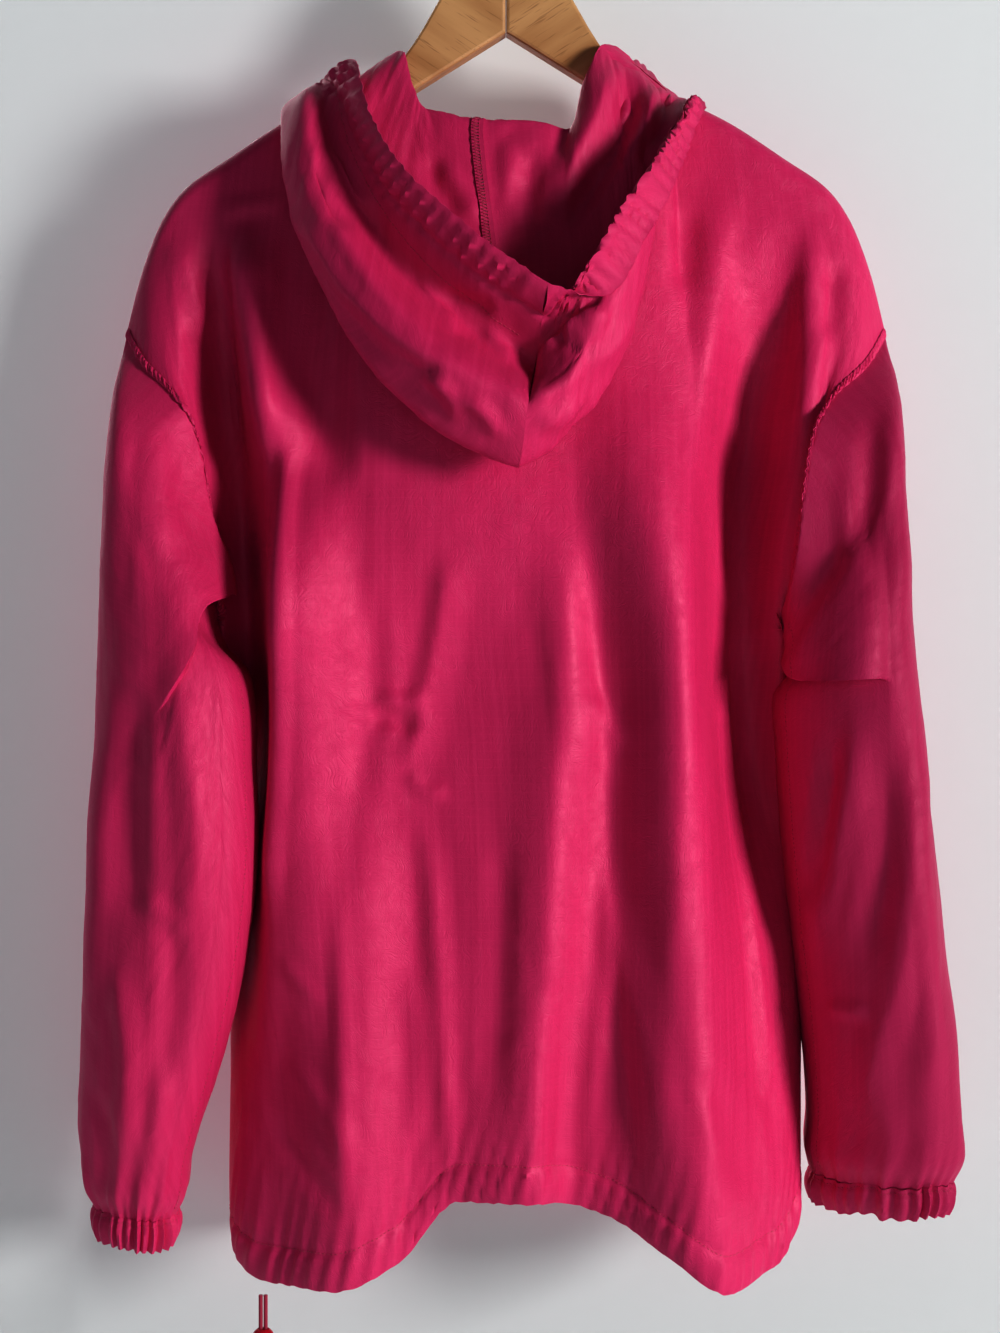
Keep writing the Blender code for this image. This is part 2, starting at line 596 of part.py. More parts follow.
def hood_surface(stations):
    """The middle surface of one half of the hood: rows from the neck to the rim."""
    knots = np.arange(len(stations["turn"]))
    index = np.linspace(0, knots[-1], HOOD_SECTIONS)
    columns = []
    for row in flowing(knots, np.column_stack(list(stations.values())), index):
        crest, base, rim = row[1:10].reshape(3, 3)
        sink, belly, rise = row[10:]
        inner = (crest + base) / 2 - (0, 0, sink)
        outer = (base + rim) / 2 + (0, -belly, rise)
        profile = np.array([neck_frame(row[0]), crest, inner, base, outer, rim])
        fine = np.linspace(0, 1, 101)
        steps = np.linalg.norm(np.diff(flowing(HOOD_KNOTS, profile, fine), axis=0), axis=1)
        reach = np.concatenate([[0], np.cumsum(steps)])
        depth = min(HOOD_CASING, CASING_SHARE * reach[-1])
        seam, *casing = (
            np.interp(reach[-1] - depth * share, reach, fine) for share in (1, *CASING_ROWS)
        )
        places = np.concatenate([HOOD_ROWS * seam, casing])
        columns.append(flowing(HOOD_KNOTS, profile, places))
    return np.array(columns).transpose(1, 0, 2)


def make_hood(name, casing_name, stations):
    """Half of the hood, with the turned-in casing of its face opening inside it."""
    grid = hood_surface(stations)
    seam, beside = (-1, -2) if stations["turn"][-1] == 0 else (0, 1)
    grid[:, seam] += unit(grid[:, beside] - grid[:, seam]) * SEAM_GAP / 2
    normals = normals_of(grid)
    normals[:, seam] = unit(normals[:, seam] * (0, 1, 1))
    wall(name, grid, normals, nylon(name))
    make_casing(casing_name, grid, normals)


def cord_route():
    """Down one strand, round the loop below the stopper, and up the other strand."""
    half = CORD_PAIR / 2
    flare_top = STOPPER_TOP + STOPPER["height"] + 0.001
    down = [(half, drop) for drop in np.linspace(0, flare_top, 6)]
    for share in (0.2, 0.4, 0.6, 0.8, 1.0):
        down.append((half + (CORD_LOOP - half) * ease(share), flare_top + CORD_FLARE * share))
    round_turns = np.linspace(0, math.pi, 9)[1:-1]
    bottom = [
        (CORD_LOOP * math.cos(turn), down[-1][1] + CORD_LOOP * math.sin(turn))
        for turn in round_turns
    ]
    up = [(-x, drop) for x, drop in reversed(down)]
    return [
        (CORD_EXIT[0] + x, CORD_EXIT[1], CORD_EXIT[2] - drop) for x, drop in down + bottom + up
    ]


def make_cord():
    curve = bpy.data.curves.new("hem_cord", "CURVE")
    curve.dimensions = "3D"
    curve.bevel_depth = CORD / 2
    curve.bevel_resolution = 2
    curve.use_fill_caps = True
    route = cord_route()
    spline = curve.splines.new("POLY")
    spline.points.add(len(route) - 1)
    for point, place in zip(spline.points, route):
        point.co = (*place, 1)
    add_object("hem_cord", curve, finish("elastic", NYLON, 0.6))


def make_stopper():
    """A round bead that both strands of the hem cord run through."""
    middle = (CORD_EXIT[0], CORD_EXIT[1], CORD_EXIT[2] - STOPPER_TOP - STOPPER["height"] / 2)
    bead = bmesh.new()
    bmesh.ops.create_uvsphere(bead, u_segments=20, v_segments=14, radius=STOPPER["radius"])
    mesh = bpy.data.meshes.new("cord_stopper")
    bead.to_mesh(mesh)
    bead.free()
    mesh.shade_smooth()
    stopper = add_object("cord_stopper", mesh, finish("bead_plastic", BEAD_RED, 0.3))
    stopper.location = middle
    cutter = bmesh.new()
    bmesh.ops.create_cube(cutter, size=1)
    size = (STOPPER_SLOT["x"], STOPPER_SLOT["y"], 2 * STOPPER["height"])
    bmesh.ops.scale(cutter, vec=size, verts=cutter.verts)
    cutter_mesh = bpy.data.meshes.new("stopper_slot")
    cutter.to_mesh(cutter_mesh)
    cutter.free()
    slot = bpy.data.objects.new("stopper_slot", cutter_mesh)
    slot.location = middle
    slot.hide_render = True
    slot.display_type = "WIRE"
    bpy.context.scene.collection.objects.link(slot)
    cut = stopper.modifiers.new("slot", "BOOLEAN")
    cut.operation = "DIFFERENCE"
    cut.object = slot


def make_arm(name, hand):
    """One arm of the hanger: its outline cut from a flat board, with rounded edges."""
    knots = np.arange(len(ARM_UPPER["x"]))
    along = np.linspace(0, knots[-1], ARM_UPPER_POINTS)
    upper = flowing(knots, np.column_stack(list(ARM_UPPER.values())), along)
    outline = [tuple(point) for point in upper] + list(ARM_TIP) + list(ARM_LOWER)
    points = [(hand * max(x, JOINT_GAP / 2), -ARM_THICK / 2, z) for x, z in outline]
    body = bmesh.new()
    face = body.faces.new([body.verts.new(point) for point in points])
    thick = bmesh.ops.extrude_face_region(body, geom=[face])
    moved = [item for item in thick["geom"] if isinstance(item, bmesh.types.BMVert)]
    bmesh.ops.translate(body, vec=(0, ARM_THICK, 0), verts=moved)
    bmesh.ops.recalc_face_normals(body, faces=body.faces[:])
    mesh = bpy.data.meshes.new(name)
    body.to_mesh(mesh)
    body.free()
    mesh.shade_smooth()
    mesh.set_sharp_from_angle(angle=math.radians(40))
    arm = add_object(name, mesh, finish(name + "_wood", WOOD, 0.42))
    edge = arm.modifiers.new("edge", "BEVEL")
    edge.width = ARM_EDGE
    edge.segments = 2
    edge.limit_method = "ANGLE"
    edge.angle_limit = math.radians(60)


def make_hook():
    centre_z = WIRE / 2 - HOOK_RADIUS
    turns = np.linspace(HOOK_START, HOOK_END, 22)
    circle = [
        (HOOK_RADIUS * math.cos(turn), 0, centre_z + HOOK_RADIUS * math.sin(turn))
        for turn in turns
    ]
    stem = [(x, 0, z) for x, z in HOOK_STEM]
    knots = np.array(stem + circle)
    places = np.concatenate([np.linspace(0, len(stem), 10), np.arange(len(stem) + 1, len(knots))])
    route = flowing(np.arange(len(knots)), knots, places)
    curve = bpy.data.curves.new("hanger_hook", "CURVE")
    curve.dimensions = "3D"
    curve.bevel_depth = WIRE / 2
    curve.bevel_resolution = 3
    curve.use_fill_caps = True
    spline = curve.splines.new("POLY")
    spline.points.add(len(route) - 1)
    for point, place in zip(spline.points, route):
        point.co = (*place, 1)
    add_object("hanger_hook", curve, finish("hook_steel", STEEL, 0.25, 1.0))


def main():
    for obj in list(bpy.data.objects):
        bpy.data.objects.remove(obj)
    back = make_panel("back_panel", -1, BACK_COLUMNS, BACK_FOLDS)
    front = make_panel("front_panel", 1, FRONT_COLUMNS, FRONT_FOLDS, slit=True)
    make_casing("hem_casing_back", *back)
    make_casing("hem_casing_front", *front)
    make_cuff("cuff_left", make_sleeve("sleeve_left", LEFT_SLEEVE, LEFT, back, front, 0))
    make_cuff("cuff_right", make_sleeve("sleeve_right", RIGHT_SLEEVE, RIGHT, back, front, -1))
    make_hood("hood_left", "hood_casing_left", HOOD_LEFT)
    make_hood("hood_right", "hood_casing_right", HOOD_RIGHT)
    make_cord()
    make_stopper()
    make_arm("hanger_arm_left", -1)
    make_arm("hanger_arm_right", 1)
    make_hook()


main()
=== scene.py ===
"""Anorak pullover in thin ripstop nylon, hung by its shoulders on a flat wooden hanger.

Metres, +Z up. The hook hangs at the origin. The garment's back, with the hood lying down over
it, faces -Y, and its front faces +Y. +X is the wearer's right-hand side.
"""

from __future__ import annotations

import json
import logging
import math
from dataclasses import dataclass, field
from enum import Enum
from typing import Callable

import bmesh
import bpy
import numpy as np
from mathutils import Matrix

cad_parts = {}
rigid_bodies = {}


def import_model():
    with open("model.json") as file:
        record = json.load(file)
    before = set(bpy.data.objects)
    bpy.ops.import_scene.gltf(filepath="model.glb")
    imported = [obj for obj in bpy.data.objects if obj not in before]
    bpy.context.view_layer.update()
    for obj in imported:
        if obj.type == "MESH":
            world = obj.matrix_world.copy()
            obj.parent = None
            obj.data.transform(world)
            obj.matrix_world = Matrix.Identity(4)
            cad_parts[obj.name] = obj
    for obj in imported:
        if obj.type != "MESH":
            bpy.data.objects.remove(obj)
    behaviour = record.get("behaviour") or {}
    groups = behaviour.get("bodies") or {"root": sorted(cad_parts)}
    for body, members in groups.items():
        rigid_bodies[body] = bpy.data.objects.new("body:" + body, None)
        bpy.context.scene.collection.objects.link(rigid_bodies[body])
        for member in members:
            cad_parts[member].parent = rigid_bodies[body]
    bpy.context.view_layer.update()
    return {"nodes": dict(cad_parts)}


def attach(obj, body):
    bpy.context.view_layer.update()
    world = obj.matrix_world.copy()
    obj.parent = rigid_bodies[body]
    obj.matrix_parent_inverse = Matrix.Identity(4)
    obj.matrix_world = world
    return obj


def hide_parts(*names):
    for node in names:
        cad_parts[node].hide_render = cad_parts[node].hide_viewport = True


Array = np.ndarray
LOG = logging.getLogger("anorak")
BODY_NAME = "root"


class Side(Enum):
    """Which of the two body panels."""

    BACK = -1
    FRONT = 1


class Hand(Enum):
    """The wearer's left or right."""

    LEFT = -1
    RIGHT = 1


# ---- curves and numbers -------------------------------------------------------------------
def table(columns: str, *rows: tuple) -> dict[str, Array]:
    """Name the columns of a short table.

    Args:
        columns: The names, with spaces between them.
        rows: A tuple of numbers for each row.

    Returns:
        An array for each name, with a value for every row.
    """
    return dict(zip(columns.split(), np.array(rows, float).T))


def smooth(knots: Array, values: Array, at: Array) -> Array:
    """Read a smooth curve through the knots that never overshoots them.

    Args:
        knots: Where the values stand, rising.
        values: The value at each knot.
        at: Where to read the curve, in an array of any shape.

    Returns:
        The values there.
    """
    knots, values, at = (np.asarray(each, float) for each in (knots, values, at))
    step = np.diff(knots)
    chord = np.diff(values) / step
    before, after = chord[:-1], chord[1:]
    same = before * after > 0
    mean = np.zeros_like(before)
    mean[same] = 2 * before[same] * after[same] / (before[same] + after[same])
    slope = np.concatenate([chord[:1], mean, chord[-1:]])
    i = np.clip(np.searchsorted(knots, at, side="right") - 1, 0, len(step) - 1)
    u = np.clip((at - knots[i]) / step[i], 0, 1)
    return (
        (1 + 2 * u) * (1 - u) ** 2 * values[i]
        + u * (1 - u) ** 2 * step[i] * slope[i]
        + u * u * (3 - 2 * u) * values[i + 1]
        + u * u * (u - 1) * step[i] * slope[i + 1]
    )


def flowing(knots: Array, points: Array, at: Array) -> Array:
    """Read a curve through points, free to swing wide of them.

    Args:
        knots: Where the points stand, rising.
        points: A row of coordinates for each knot.
        at: Where to read the curve.

    Returns:
        A row of coordinates for each place.
    """
    knots, points, at = (np.asarray(each, float) for each in (knots, points, at))
    step = np.diff(knots)[:, None]
    chord = np.diff(points, axis=0) / step
    inner = (chord[:-1] * step[1:] + chord[1:] * step[:-1]) / (step[:-1] + step[1:])
    slope = np.vstack([chord[:1], inner, chord[-1:]])
    i = np.clip(np.searchsorted(knots, at, side="right") - 1, 0, len(step) - 1)
    u = ((at - knots[i]) / step[i, 0])[:, None]
    return (
        (1 + 2 * u) * (1 - u) ** 2 * points[i]
        + u * (1 - u) ** 2 * step[i] * slope[i]
        + u * u * (3 - 2 * u) * points[i + 1]
        + u * u * (u - 1) * step[i] * slope[i + 1]
    )


def ease(share: Array) -> Array:
    """Turn a share into one with a soft start and a soft end."""
    share = np.clip(share, 0, 1)
    return share * share * (3 - 2 * share)


def unit(vectors: Array) -> Array:
    """Scale vectors to length 1."""
    return vectors / np.maximum(np.linalg.norm(vectors, axis=-1, keepdims=True), 1e-12)


def lattice(across: Array, down: Array, seed: int) -> Array:
    """Give each whole-numbered cell its own steady number from -1 to 1."""
    mixed = (across * 374761393 + down * 668265263 + seed * 974634777) & 0xFFFFFFFF
    mixed = ((mixed ^ (mixed >> 13)) * 1274126177) & 0xFFFFFFFF
    return ((mixed ^ (mixed >> 16)) & 0xFFFF) / 32767.5 - 1


def drift(x: Array, y: Array, seed: int) -> Array:
    """Read a soft random surface.

    Args:
        x: Places across, in cells.
        y: Places down, in cells.
        seed: Which surface.

    Returns:
        Values from about -1 to 1.
    """
    x, y = np.broadcast_arrays(np.asarray(x, float), np.asarray(y, float))
    ix, iy = np.floor(x).astype(np.int64), np.floor(y).astype(np.int64)
    u, v = x - ix, y - iy
    u, v = u**3 * (u * (6 * u - 15) + 10), v**3 * (v * (6 * v - 15) + 10)
    top = lattice(ix, iy, seed) * (1 - u) + lattice(ix + 1, iy, seed) * u
    low = lattice(ix, iy + 1, seed) * (1 - u) + lattice(ix + 1, iy + 1, seed) * u
    return top * (1 - v) + low * v


def ripple(arc: Array, spacing: float, seed: int) -> Array:
    """Uneven gathers along a seam.

    Args:
        arc: The distance along the seam.
        spacing: How far apart the gathers are on average.
        seed: Which run of gathers.

    Returns:
        Values from about -1 to 1, pinched into the cloth and rounded out of it.
    """
    place = arc / spacing
    place = place + 0.55 * drift(place / 2.1, 0.0, seed)
    strength = 0.72 + 0.28 * drift(place / 1.7, 3.5, seed + 1)
    wave = np.cos(2 * math.pi * place)
    return strength * (wave - 0.35 * (1 - wave**2))


def arc_along(points: Array, axis: int) -> Array:
    """Measure a grid of points along its rows or its columns, from the first one."""
    steps = np.linalg.norm(np.diff(points, axis=axis), axis=-1)
    start = np.zeros_like(np.take(steps, [0], axis=axis))
    return np.concatenate([start, np.cumsum(steps, axis=axis)], axis=axis)


# ---- creases ------------------------------------------------------------------------------
@dataclass(frozen=True)
class Crease:
    """A crease laid along a line, in x and z as seen from the garment's back.

    It stands out of the cloth by its height or, where that is below zero, sinks into it.
    """

    line: tuple[tuple[float, float], ...]
    width: float
    height: float
    crisp: float = 0.3
    lean: float = 0.0
    fade: float = 0.3

    def relief(self, x: Array, z: Array) -> Array:
        """Give how far the crease moves the cloth at each place.

        Args:
            x: Places across.
            z: Heights.

        Returns:
            The move along the cloth's own outward direction.
        """
        knots = np.arange(len(self.line))
        fine = np.linspace(0, knots[-1], 6 * (len(self.line) - 1) + 1)
        path = flowing(knots, np.array(self.line), fine)
        lengths = np.linalg.norm(np.diff(path, axis=0), axis=1)
        total = lengths.sum()
        nearest = np.full(x.shape, 9.0)
        signed = np.zeros(x.shape)
        share = np.zeros(x.shape)
        begun = 0.0
        for (ax, az), (bx, bz), length in zip(path[:-1], path[1:], lengths):
            dx, dz = (bx - ax) / length, (bz - az) / length
            along = np.clip((x - ax) * dx + (z - az) * dz, 0, length)
            ox, oz = x - ax - along * dx, z - az - along * dz
            away = np.hypot(ox, oz)
            closer = away < nearest
            nearest = np.where(closer, away, nearest)
            signed = np.where(closer, ox * dz - oz * dx, signed)
            share = np.where(closer, (begun + along) / total, share)
            begun += length
        reach = self.width * (1 + self.lean * np.sign(signed))
        part = np.clip(1 - nearest / np.maximum(reach, 1e-6), 0, 1)
        soft = (1 - (1 - part) ** 2) ** 2
        profile = soft * (1 - self.crisp) + part**1.3 * self.crisp
        ends = ease(share / self.fade) * ease((1 - share) / self.fade)
        return self.height * profile * ends


def crease_rows(*rows: tuple) -> list[Crease]:
    """Describe creases by rows of sizes in millimetres.

    Args:
        rows: Each one's width, height, crispness, lean and fade, then x and z of its points.

    Returns:
        The creases, in metres.
    """
    made = []
    for width, height, crisp, lean, fade, *line in rows:
        points = tuple((x / 1000, z / 1000) for x, z in zip(line[::2], line[1::2]))
        made.append(Crease(points, width / 1000, height / 1000, crisp, lean, fade))
    return made


def laid(several: list[Crease], x: Array, z: Array) -> Array:
    """Add up the relief of several creases."""
    total = np.zeros(x.shape)
    for crease in several:
        total += crease.relief(x, z)
    return total


def crumple(flat: Array, size: float, stretch: float, seed: int) -> Array:
    """Small crinkles with sharp crests, as thin nylon keeps after it was packed.

    Args:
        flat: Places on the flat cloth, across and down.
        size: The usual distance between crests.
        stretch: How many times longer they run down than across.
        seed: Which set of crinkles.

    Returns:
        Values from about -1 to 1.
    """
    u, v = flat[..., 0] / size, flat[..., 1] / (size * stretch)
    u = u + 0.8 * drift(u / 2.3, v / 2.3, seed + 7)
    v = v + 0.8 * drift(u / 2.1 + 5, v / 1.9, seed + 8)
    first = 1 - 2 * np.abs(drift(u, v, seed))
    second = 1 - 2 * np.abs(drift(u * 1.9 + v * 0.7, v * 2.1 - u * 0.5, seed + 1))
    return 0.65 * first + 0.35 * second


# ---- meshes -------------------------------------------------------------------------------
def normals_of(points: Array, ring: bool) -> Array:
    """Find a grid's directions out of one of its faces; a ring's columns close round."""
    down = np.gradient(points, axis=0)
    if ring:
        across = np.roll(points, -1, axis=1) - np.roll(points, 1, axis=1)
    else:
        across = np.gradient(points, axis=1)
    return unit(np.cross(across, down))


@dataclass
class Sheet:
    """A cloth surface: a grid of points, its outward directions and its places in the flat."""

    points: Array
    outward: Array
    flat: Array
    ring: bool = False
    skip: frozenset = frozenset()

    def cells(self) -> Array:
        """List the corner indices of each quad of the grid, turned to face outward."""
        rows, columns = self.points.shape[:2]
        index = np.arange(rows * columns).reshape(rows, columns)
        beside = np.roll(index, -1, axis=1)
        quads = np.stack([index[:-1], beside[:-1], beside[1:], index[1:]], axis=-1)
        if not self.ring:
            quads = quads[:, :-1]
        keep = np.ones(quads.shape[:2], bool)
        for row, column in self.skip:
            keep[row, column] = False
        quads = quads[keep]
        middle = len(quads) // 2
        a, b, _, d = (self.points.reshape(-1, 3)[k] for k in quads[middle])
        facing = np.dot(np.cross(b - a, d - a), self.outward.reshape(-1, 3)[quads[middle][0]])
        return quads if facing > 0 else quads[:, ::-1]

    def renew(self) -> None:
        """Work the outward directions out again from the points, the same way round."""
        normals = normals_of(self.points, self.ring)
        agree = np.sign(np.sum(normals * self.outward, axis=-1, keepdims=True))
        self.outward = normals * np.where(np.median(agree) < 0, -1, 1)

    def raise_by(self, height: Array) -> None:
        """Move the points along the outward directions."""
        self.points = self.points + self.outward * np.asarray(height)[..., None]


def outward_of(points: Array, ring: bool, towards: Callable[[Array], Array]) -> Array:
    """Find a grid's directions out of the cloth.

    Args:
        points: The grid.
        ring: Whether its columns close round.
        towards: Gives the rough outward direction at each point.

    Returns:
        A unit vector for each point.
    """
    normals = normals_of(points, ring)
    agree = np.median(np.sum(normals * towards(points), axis=-1))
    return normals * (1 if agree > 0 else -1)


def mesh_object(
    name: str, points: Array, faces: list | Array, material: bpy.types.Material
) -> bpy.types.Object:
    """Make a smooth mesh object and put it in the scene."""
    mesh = bpy.data.meshes.new(name)
    faces = faces.tolist() if isinstance(faces, np.ndarray) else faces
    mesh.from_pydata(np.asarray(points).tolist(), [], faces)
    mesh.update()
    mesh.shade_smooth()
    piece = bpy.data.objects.new(name, mesh)
    piece.data.materials.append(material)
    bpy.context.scene.collection.objects.link(piece)
    return piece


def shell(name: str, sheet: Sheet, thick: float, material: bpy.types.Material) -> bpy.types.Object:
    """Make a thin closed shell from a sheet, with its flat places kept as UVs.

    Args:
        name: The piece's name.
        sheet: The surface halfway through the cloth.
        thick: The thickness.
        material: Its finish.

    Returns:
        The new object.
    """
    outer = (sheet.points + sheet.outward * thick / 2).reshape(-1, 3)
    inner = (sheet.points - sheet.outward * thick / 2).reshape(-1, 3)
    quads = sheet.cells()
    count = len(outer)
    starts = quads.reshape(-1)
    ends = np.roll(quads, -1, axis=1).reshape(-1)
    forward = starts * count + ends
    back = ends * count + starts
    rim = ~np.isin(forward, back)
    a, b = starts[rim], ends[rim]
    sides = np.stack([b, a, a + count, b + count], axis=-1)
    faces = np.concatenate([quads, quads[:, ::-1] + count, sides])
    piece = mesh_object(name, np.vstack([outer, inner]), faces, material)
    layer = piece.data.uv_layers.new(name="flat")
    corner = np.empty(len(piece.data.loops), np.int64)
    piece.data.loops.foreach_get("vertex_index", corner)
    columns = sheet.points.shape[1]
    flat = sheet.flat.reshape(-1, 2)[corner % count]
    if sheet.ring:
        wrapped = (corner % count) % columns == 0
        last = np.repeat(np.max(corner.reshape(-1, 4) % columns, axis=1), 4)
        flat[wrapped & (last == columns - 1), 0] += sheet.flat[0, 0, 0] + sheet.flat[0, -1, 0] * (
            columns / (columns - 1)
        )
    layer.data.foreach_set("uv", flat.astype(np.float32).reshape(-1))
    piece.data.set_sharp_from_angle(angle=math.radians(62))
    return piece


def fasten(pieces: list, stands_for: str = "") -> None:
    """Fix pieces to the root body, and hide the CAD solid that they stand for, if one is named."""
    for each in pieces:
        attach(each, BODY_NAME)
    if stands_for:
        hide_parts(stands_for)


def along_path(path: Array, spacing: float) -> Array:
    """Space points evenly along a path.

    Args:
        path: The points to follow.
        spacing: The distance between the new points.

    Returns:
        The new points.
    """
    reach = arc_along(path[:, None, :3], 0)[:, 0]
    count = max(2, int(round(reach[-1] / spacing)) + 1)
    at = np.linspace(0, reach[-1], count)
    return np.stack([np.interp(at, reach, path[:, k]) for k in range(path.shape[1])], axis=-1)


def tubes(lines: list[Array], radius: float, sides: int) -> tuple[Array, list]:
    """Build round threads along many short lines.

    Args:
        lines: The points of each thread.
        radius: Half its thickness.
        sides: How many sides it has.

    Returns:
        The points and the faces of all of them together.
    """
    points: list[Array] = []
    faces: list[tuple] = []
    turn = np.linspace(0, 2 * math.pi, sides, endpoint=False)
    start = 0
    for line in lines:
        ahead = unit(np.gradient(line, axis=0))
        flat = np.abs(ahead[:, 2:]) > 0.9
        side = unit(np.cross(ahead, np.where(flat, (1.0, 0, 0), (0, 0, 1.0))))
        up = np.cross(side, ahead)
        share = np.linspace(-1, 1, len(line))
        width = radius * np.sqrt(np.clip(1.06 - share**6, 0.02, 1))
        ring = (
            line[:, None]
            + side[:, None] * (np.cos(turn) * width[:, None])[..., None]
            + up[:, None] * (np.sin(turn) * width[:, None])[..., None]
        )
        points.append(ring.reshape(-1, 3))
        for r in range(len(line) - 1):
            for c in range(sides):
                d = (c + 1) % sides
                low, high = start + r * sides, start + (r + 1) * sides
                faces.append((low + c, low + d, high + d, high + c))
        faces.append(tuple(start + c for c in reversed(range(sides))))
        faces.append(tuple(start + (len(line) - 1) * sides + c for c in range(sides)))
        start += len(line) * sides
    return np.vstack(points), faces


@dataclass(frozen=True)
class Stitching:
    """A row of lockstitch in sewing thread."""

    pitch: float = 0.0030
    gap: float = 0.0007
    radius: float = 0.00026

    def sew(
        self, name: str, path: Array, outward: Array, material: bpy.types.Material
    ) -> bpy.types.Object:
        """Lay the row along a path on the cloth.

        Args:
            name: The piece's name.
            path: Points on the cloth's surface.
            outward: The cloth's direction at each of them.
            material: The thread's finish.

        Returns:
            One mesh with every stitch in it.
        """
        both = along_path(np.hstack([path, outward]), self.pitch / 6)
        lines = []
        whole = 6
        held = max(1, round(whole * self.gap / self.pitch))
        for start in range(0, len(both) - whole, whole):
            part = both[start : start + whole - held + 1]
            lift = np.sin(np.linspace(0, math.pi, len(part)))[:, None]
            lines.append(part[:, :3] + unit(part[:, 3:]) * self.radius * (1.5 * lift - 0.9))
        points, faces = tubes(lines, self.radius, 5)
        return mesh_object(name, points, faces, material)


# ---- the garment's form -------------------------------------------------------------------
@dataclass
class BodyForm:
    """The two body panels' shape: shoulders, neck edge, armholes, chest and hem."""

    neck_share: float = 0.50
    neck_half_width: float = 0.104
    neck_side_z: float = -0.163
    neck_reach: dict = field(default_factory=lambda: {Side.BACK: -0.030, Side.FRONT: 0.038})
    neck_z: dict = field(default_factory=lambda: {Side.BACK: -0.214, Side.FRONT: -0.262})
    neck_power: dict = field(default_factory=lambda: {Side.BACK: 3.0, Side.FRONT: 2.5})
    shoulder_round: float = 0.012
    underarm_z: float = -0.500
    armhole_power: int = 8
    body_power: float = 2.4
    hem_casing: float = 0.023
    fold_room: float = 0.030
    hem_folds: float = -0.85
    shoulder: dict = field(
        default_factory=lambda: table(
            "share x z",
            (0.5, 0.104, -0.163),
            (0.61, 0.14, -0.1805),
            (0.71, 0.1747, -0.203),
            (0.8, 0.203, -0.2228),
            (0.87, 0.217, -0.242),
            (0.93, 0.231, -0.278),
            (1, 0.2405, -0.316),
        )
    )
    armhole: dict = field(
        default_factory=lambda: table(
            "down inward reach",
            (0, 0, 0),
            (0.13, 0.28, 0.02),
            (0.22, 0.58, 0.03),
            (0.33, 0.8, 0.037),
            (0.45, 0.9, 0.041),
            (0.7, 0.97, 0.038),
            (0.9, 0.99, 0.024),
            (1, 1, 0),
        )
    )
    sizes: dict = field(
        default_factory=lambda: table(
            "z left right back front side",
            (-0.5, -0.181, 0.1775, 0.05, 0.046, 0),
            (-0.53, -0.18, 0.1815, 0.053, 0.048, 0.017),
            (-0.57, -0.1785, 0.1865, 0.057, 0.05, 0.028),
            (-0.63, -0.1785, 0.19, 0.061, 0.05, 0.035),
            (-0.7, -0.1785, 0.192, 0.063, 0.05, 0.034),
            (-0.78, -0.1765, 0.189, 0.063, 0.05, 0.022),
            (-0.86, -0.1755, 0.1865, 0.058, 0.049, 0.008),
            (-0.92, -0.17, 0.183, 0.052, 0.046, 0.004),
        )
    )
    hem: dict = field(
        default_factory=lambda: table(
            "share back front",
            (-1, -0.888, -0.888),
            (-0.66, -0.905, -0.896),
            (-0.44, -0.904, -0.88),
            (-0.26, -0.888, -0.868),
            (-0.12, -0.851, -0.862),
            (0.02, -0.85, -0.866),
            (0.2, -0.86, -0.874),
            (0.34, -0.88, -0.884),
            (0.52, -0.902, -0.882),
            (0.7, -0.897, -0.87),
            (1, -0.858, -0.858),
        )
    )
    folds: dict = field(
        default_factory=lambda: {
            Side.BACK: table(
                "x1 z1 x2 z2 x3 z3 left right height",
                (-0.136, -0.385, -0.138, -0.56, -0.15, -0.8, 0.018, 0.05, 0.025),
                (-0.186, -0.25, -0.168, -0.43, -0.16, -0.64, 0.028, 0.024, -0.036),
                (-0.164, -0.24, -0.163, -0.32, -0.148, -0.41, 0.016, 0.042, 0.019),
                (-0.112, -0.24, -0.11, -0.34, -0.108, -0.43, 0.022, 0.022, -0.009),
                (-0.096, -0.6, -0.1, -0.76, -0.1, -0.92, 0.04, 0.045, 0.009),
                (-0.04, -0.42, -0.042, -0.64, -0.034, -0.93, 0.06, 0.11, -0.015),
                (0.056, -0.48, 0.034, -0.66, 0.004, -0.9, 0.05, 0.03, 0.007),
                (0.07, -0.42, 0.058, -0.64, 0.042, -0.92, 0.034, 0.048, -0.016),
                (0.082, -0.33, 0.104, -0.548, 0.128, -0.9, 0.05, 0.036, 0.026),
                (0.174, -0.24, 0.147, -0.47, 0.164, -0.72, 0.038, 0.034, -0.036),
                (0.199, -0.255, 0.18, -0.4, 0.176, -0.52, 0.018, 0.018, 0.01),
            ),
            Side.FRONT: table(
                "x1 z1 x2 z2 x3 z3 left right height",
                (-0.15, -0.3, -0.138, -0.56, -0.14, -0.86, 0.026, 0.034, 0.014),
                (-0.172, -0.28, -0.164, -0.42, -0.158, -0.6, 0.022, 0.022, -0.006),
                (-0.085, -0.36, -0.095, -0.6, -0.08, -0.92, 0.034, 0.04, -0.013),
                (-0.024, -0.42, -0.036, -0.64, -0.03, -0.9, 0.034, 0.044, 0.01),
                (0.032, -0.44, 0.024, -0.66, 0.03, -0.92, 0.04, 0.034, -0.012),
                (0.078, -0.33, 0.094, -0.6, 0.088, -0.9, 0.038, 0.03, 0.013),
                (0.168, -0.25, 0.138, -0.48, 0.146, -0.76, 0.03, 0.03, -0.007),
            ),
        }
    )

    def size(self, name: str, z: Array) -> Array:
        """Read one of the body's sizes at each height."""
        return smooth(-self.sizes["z"], self.sizes[name], -z)

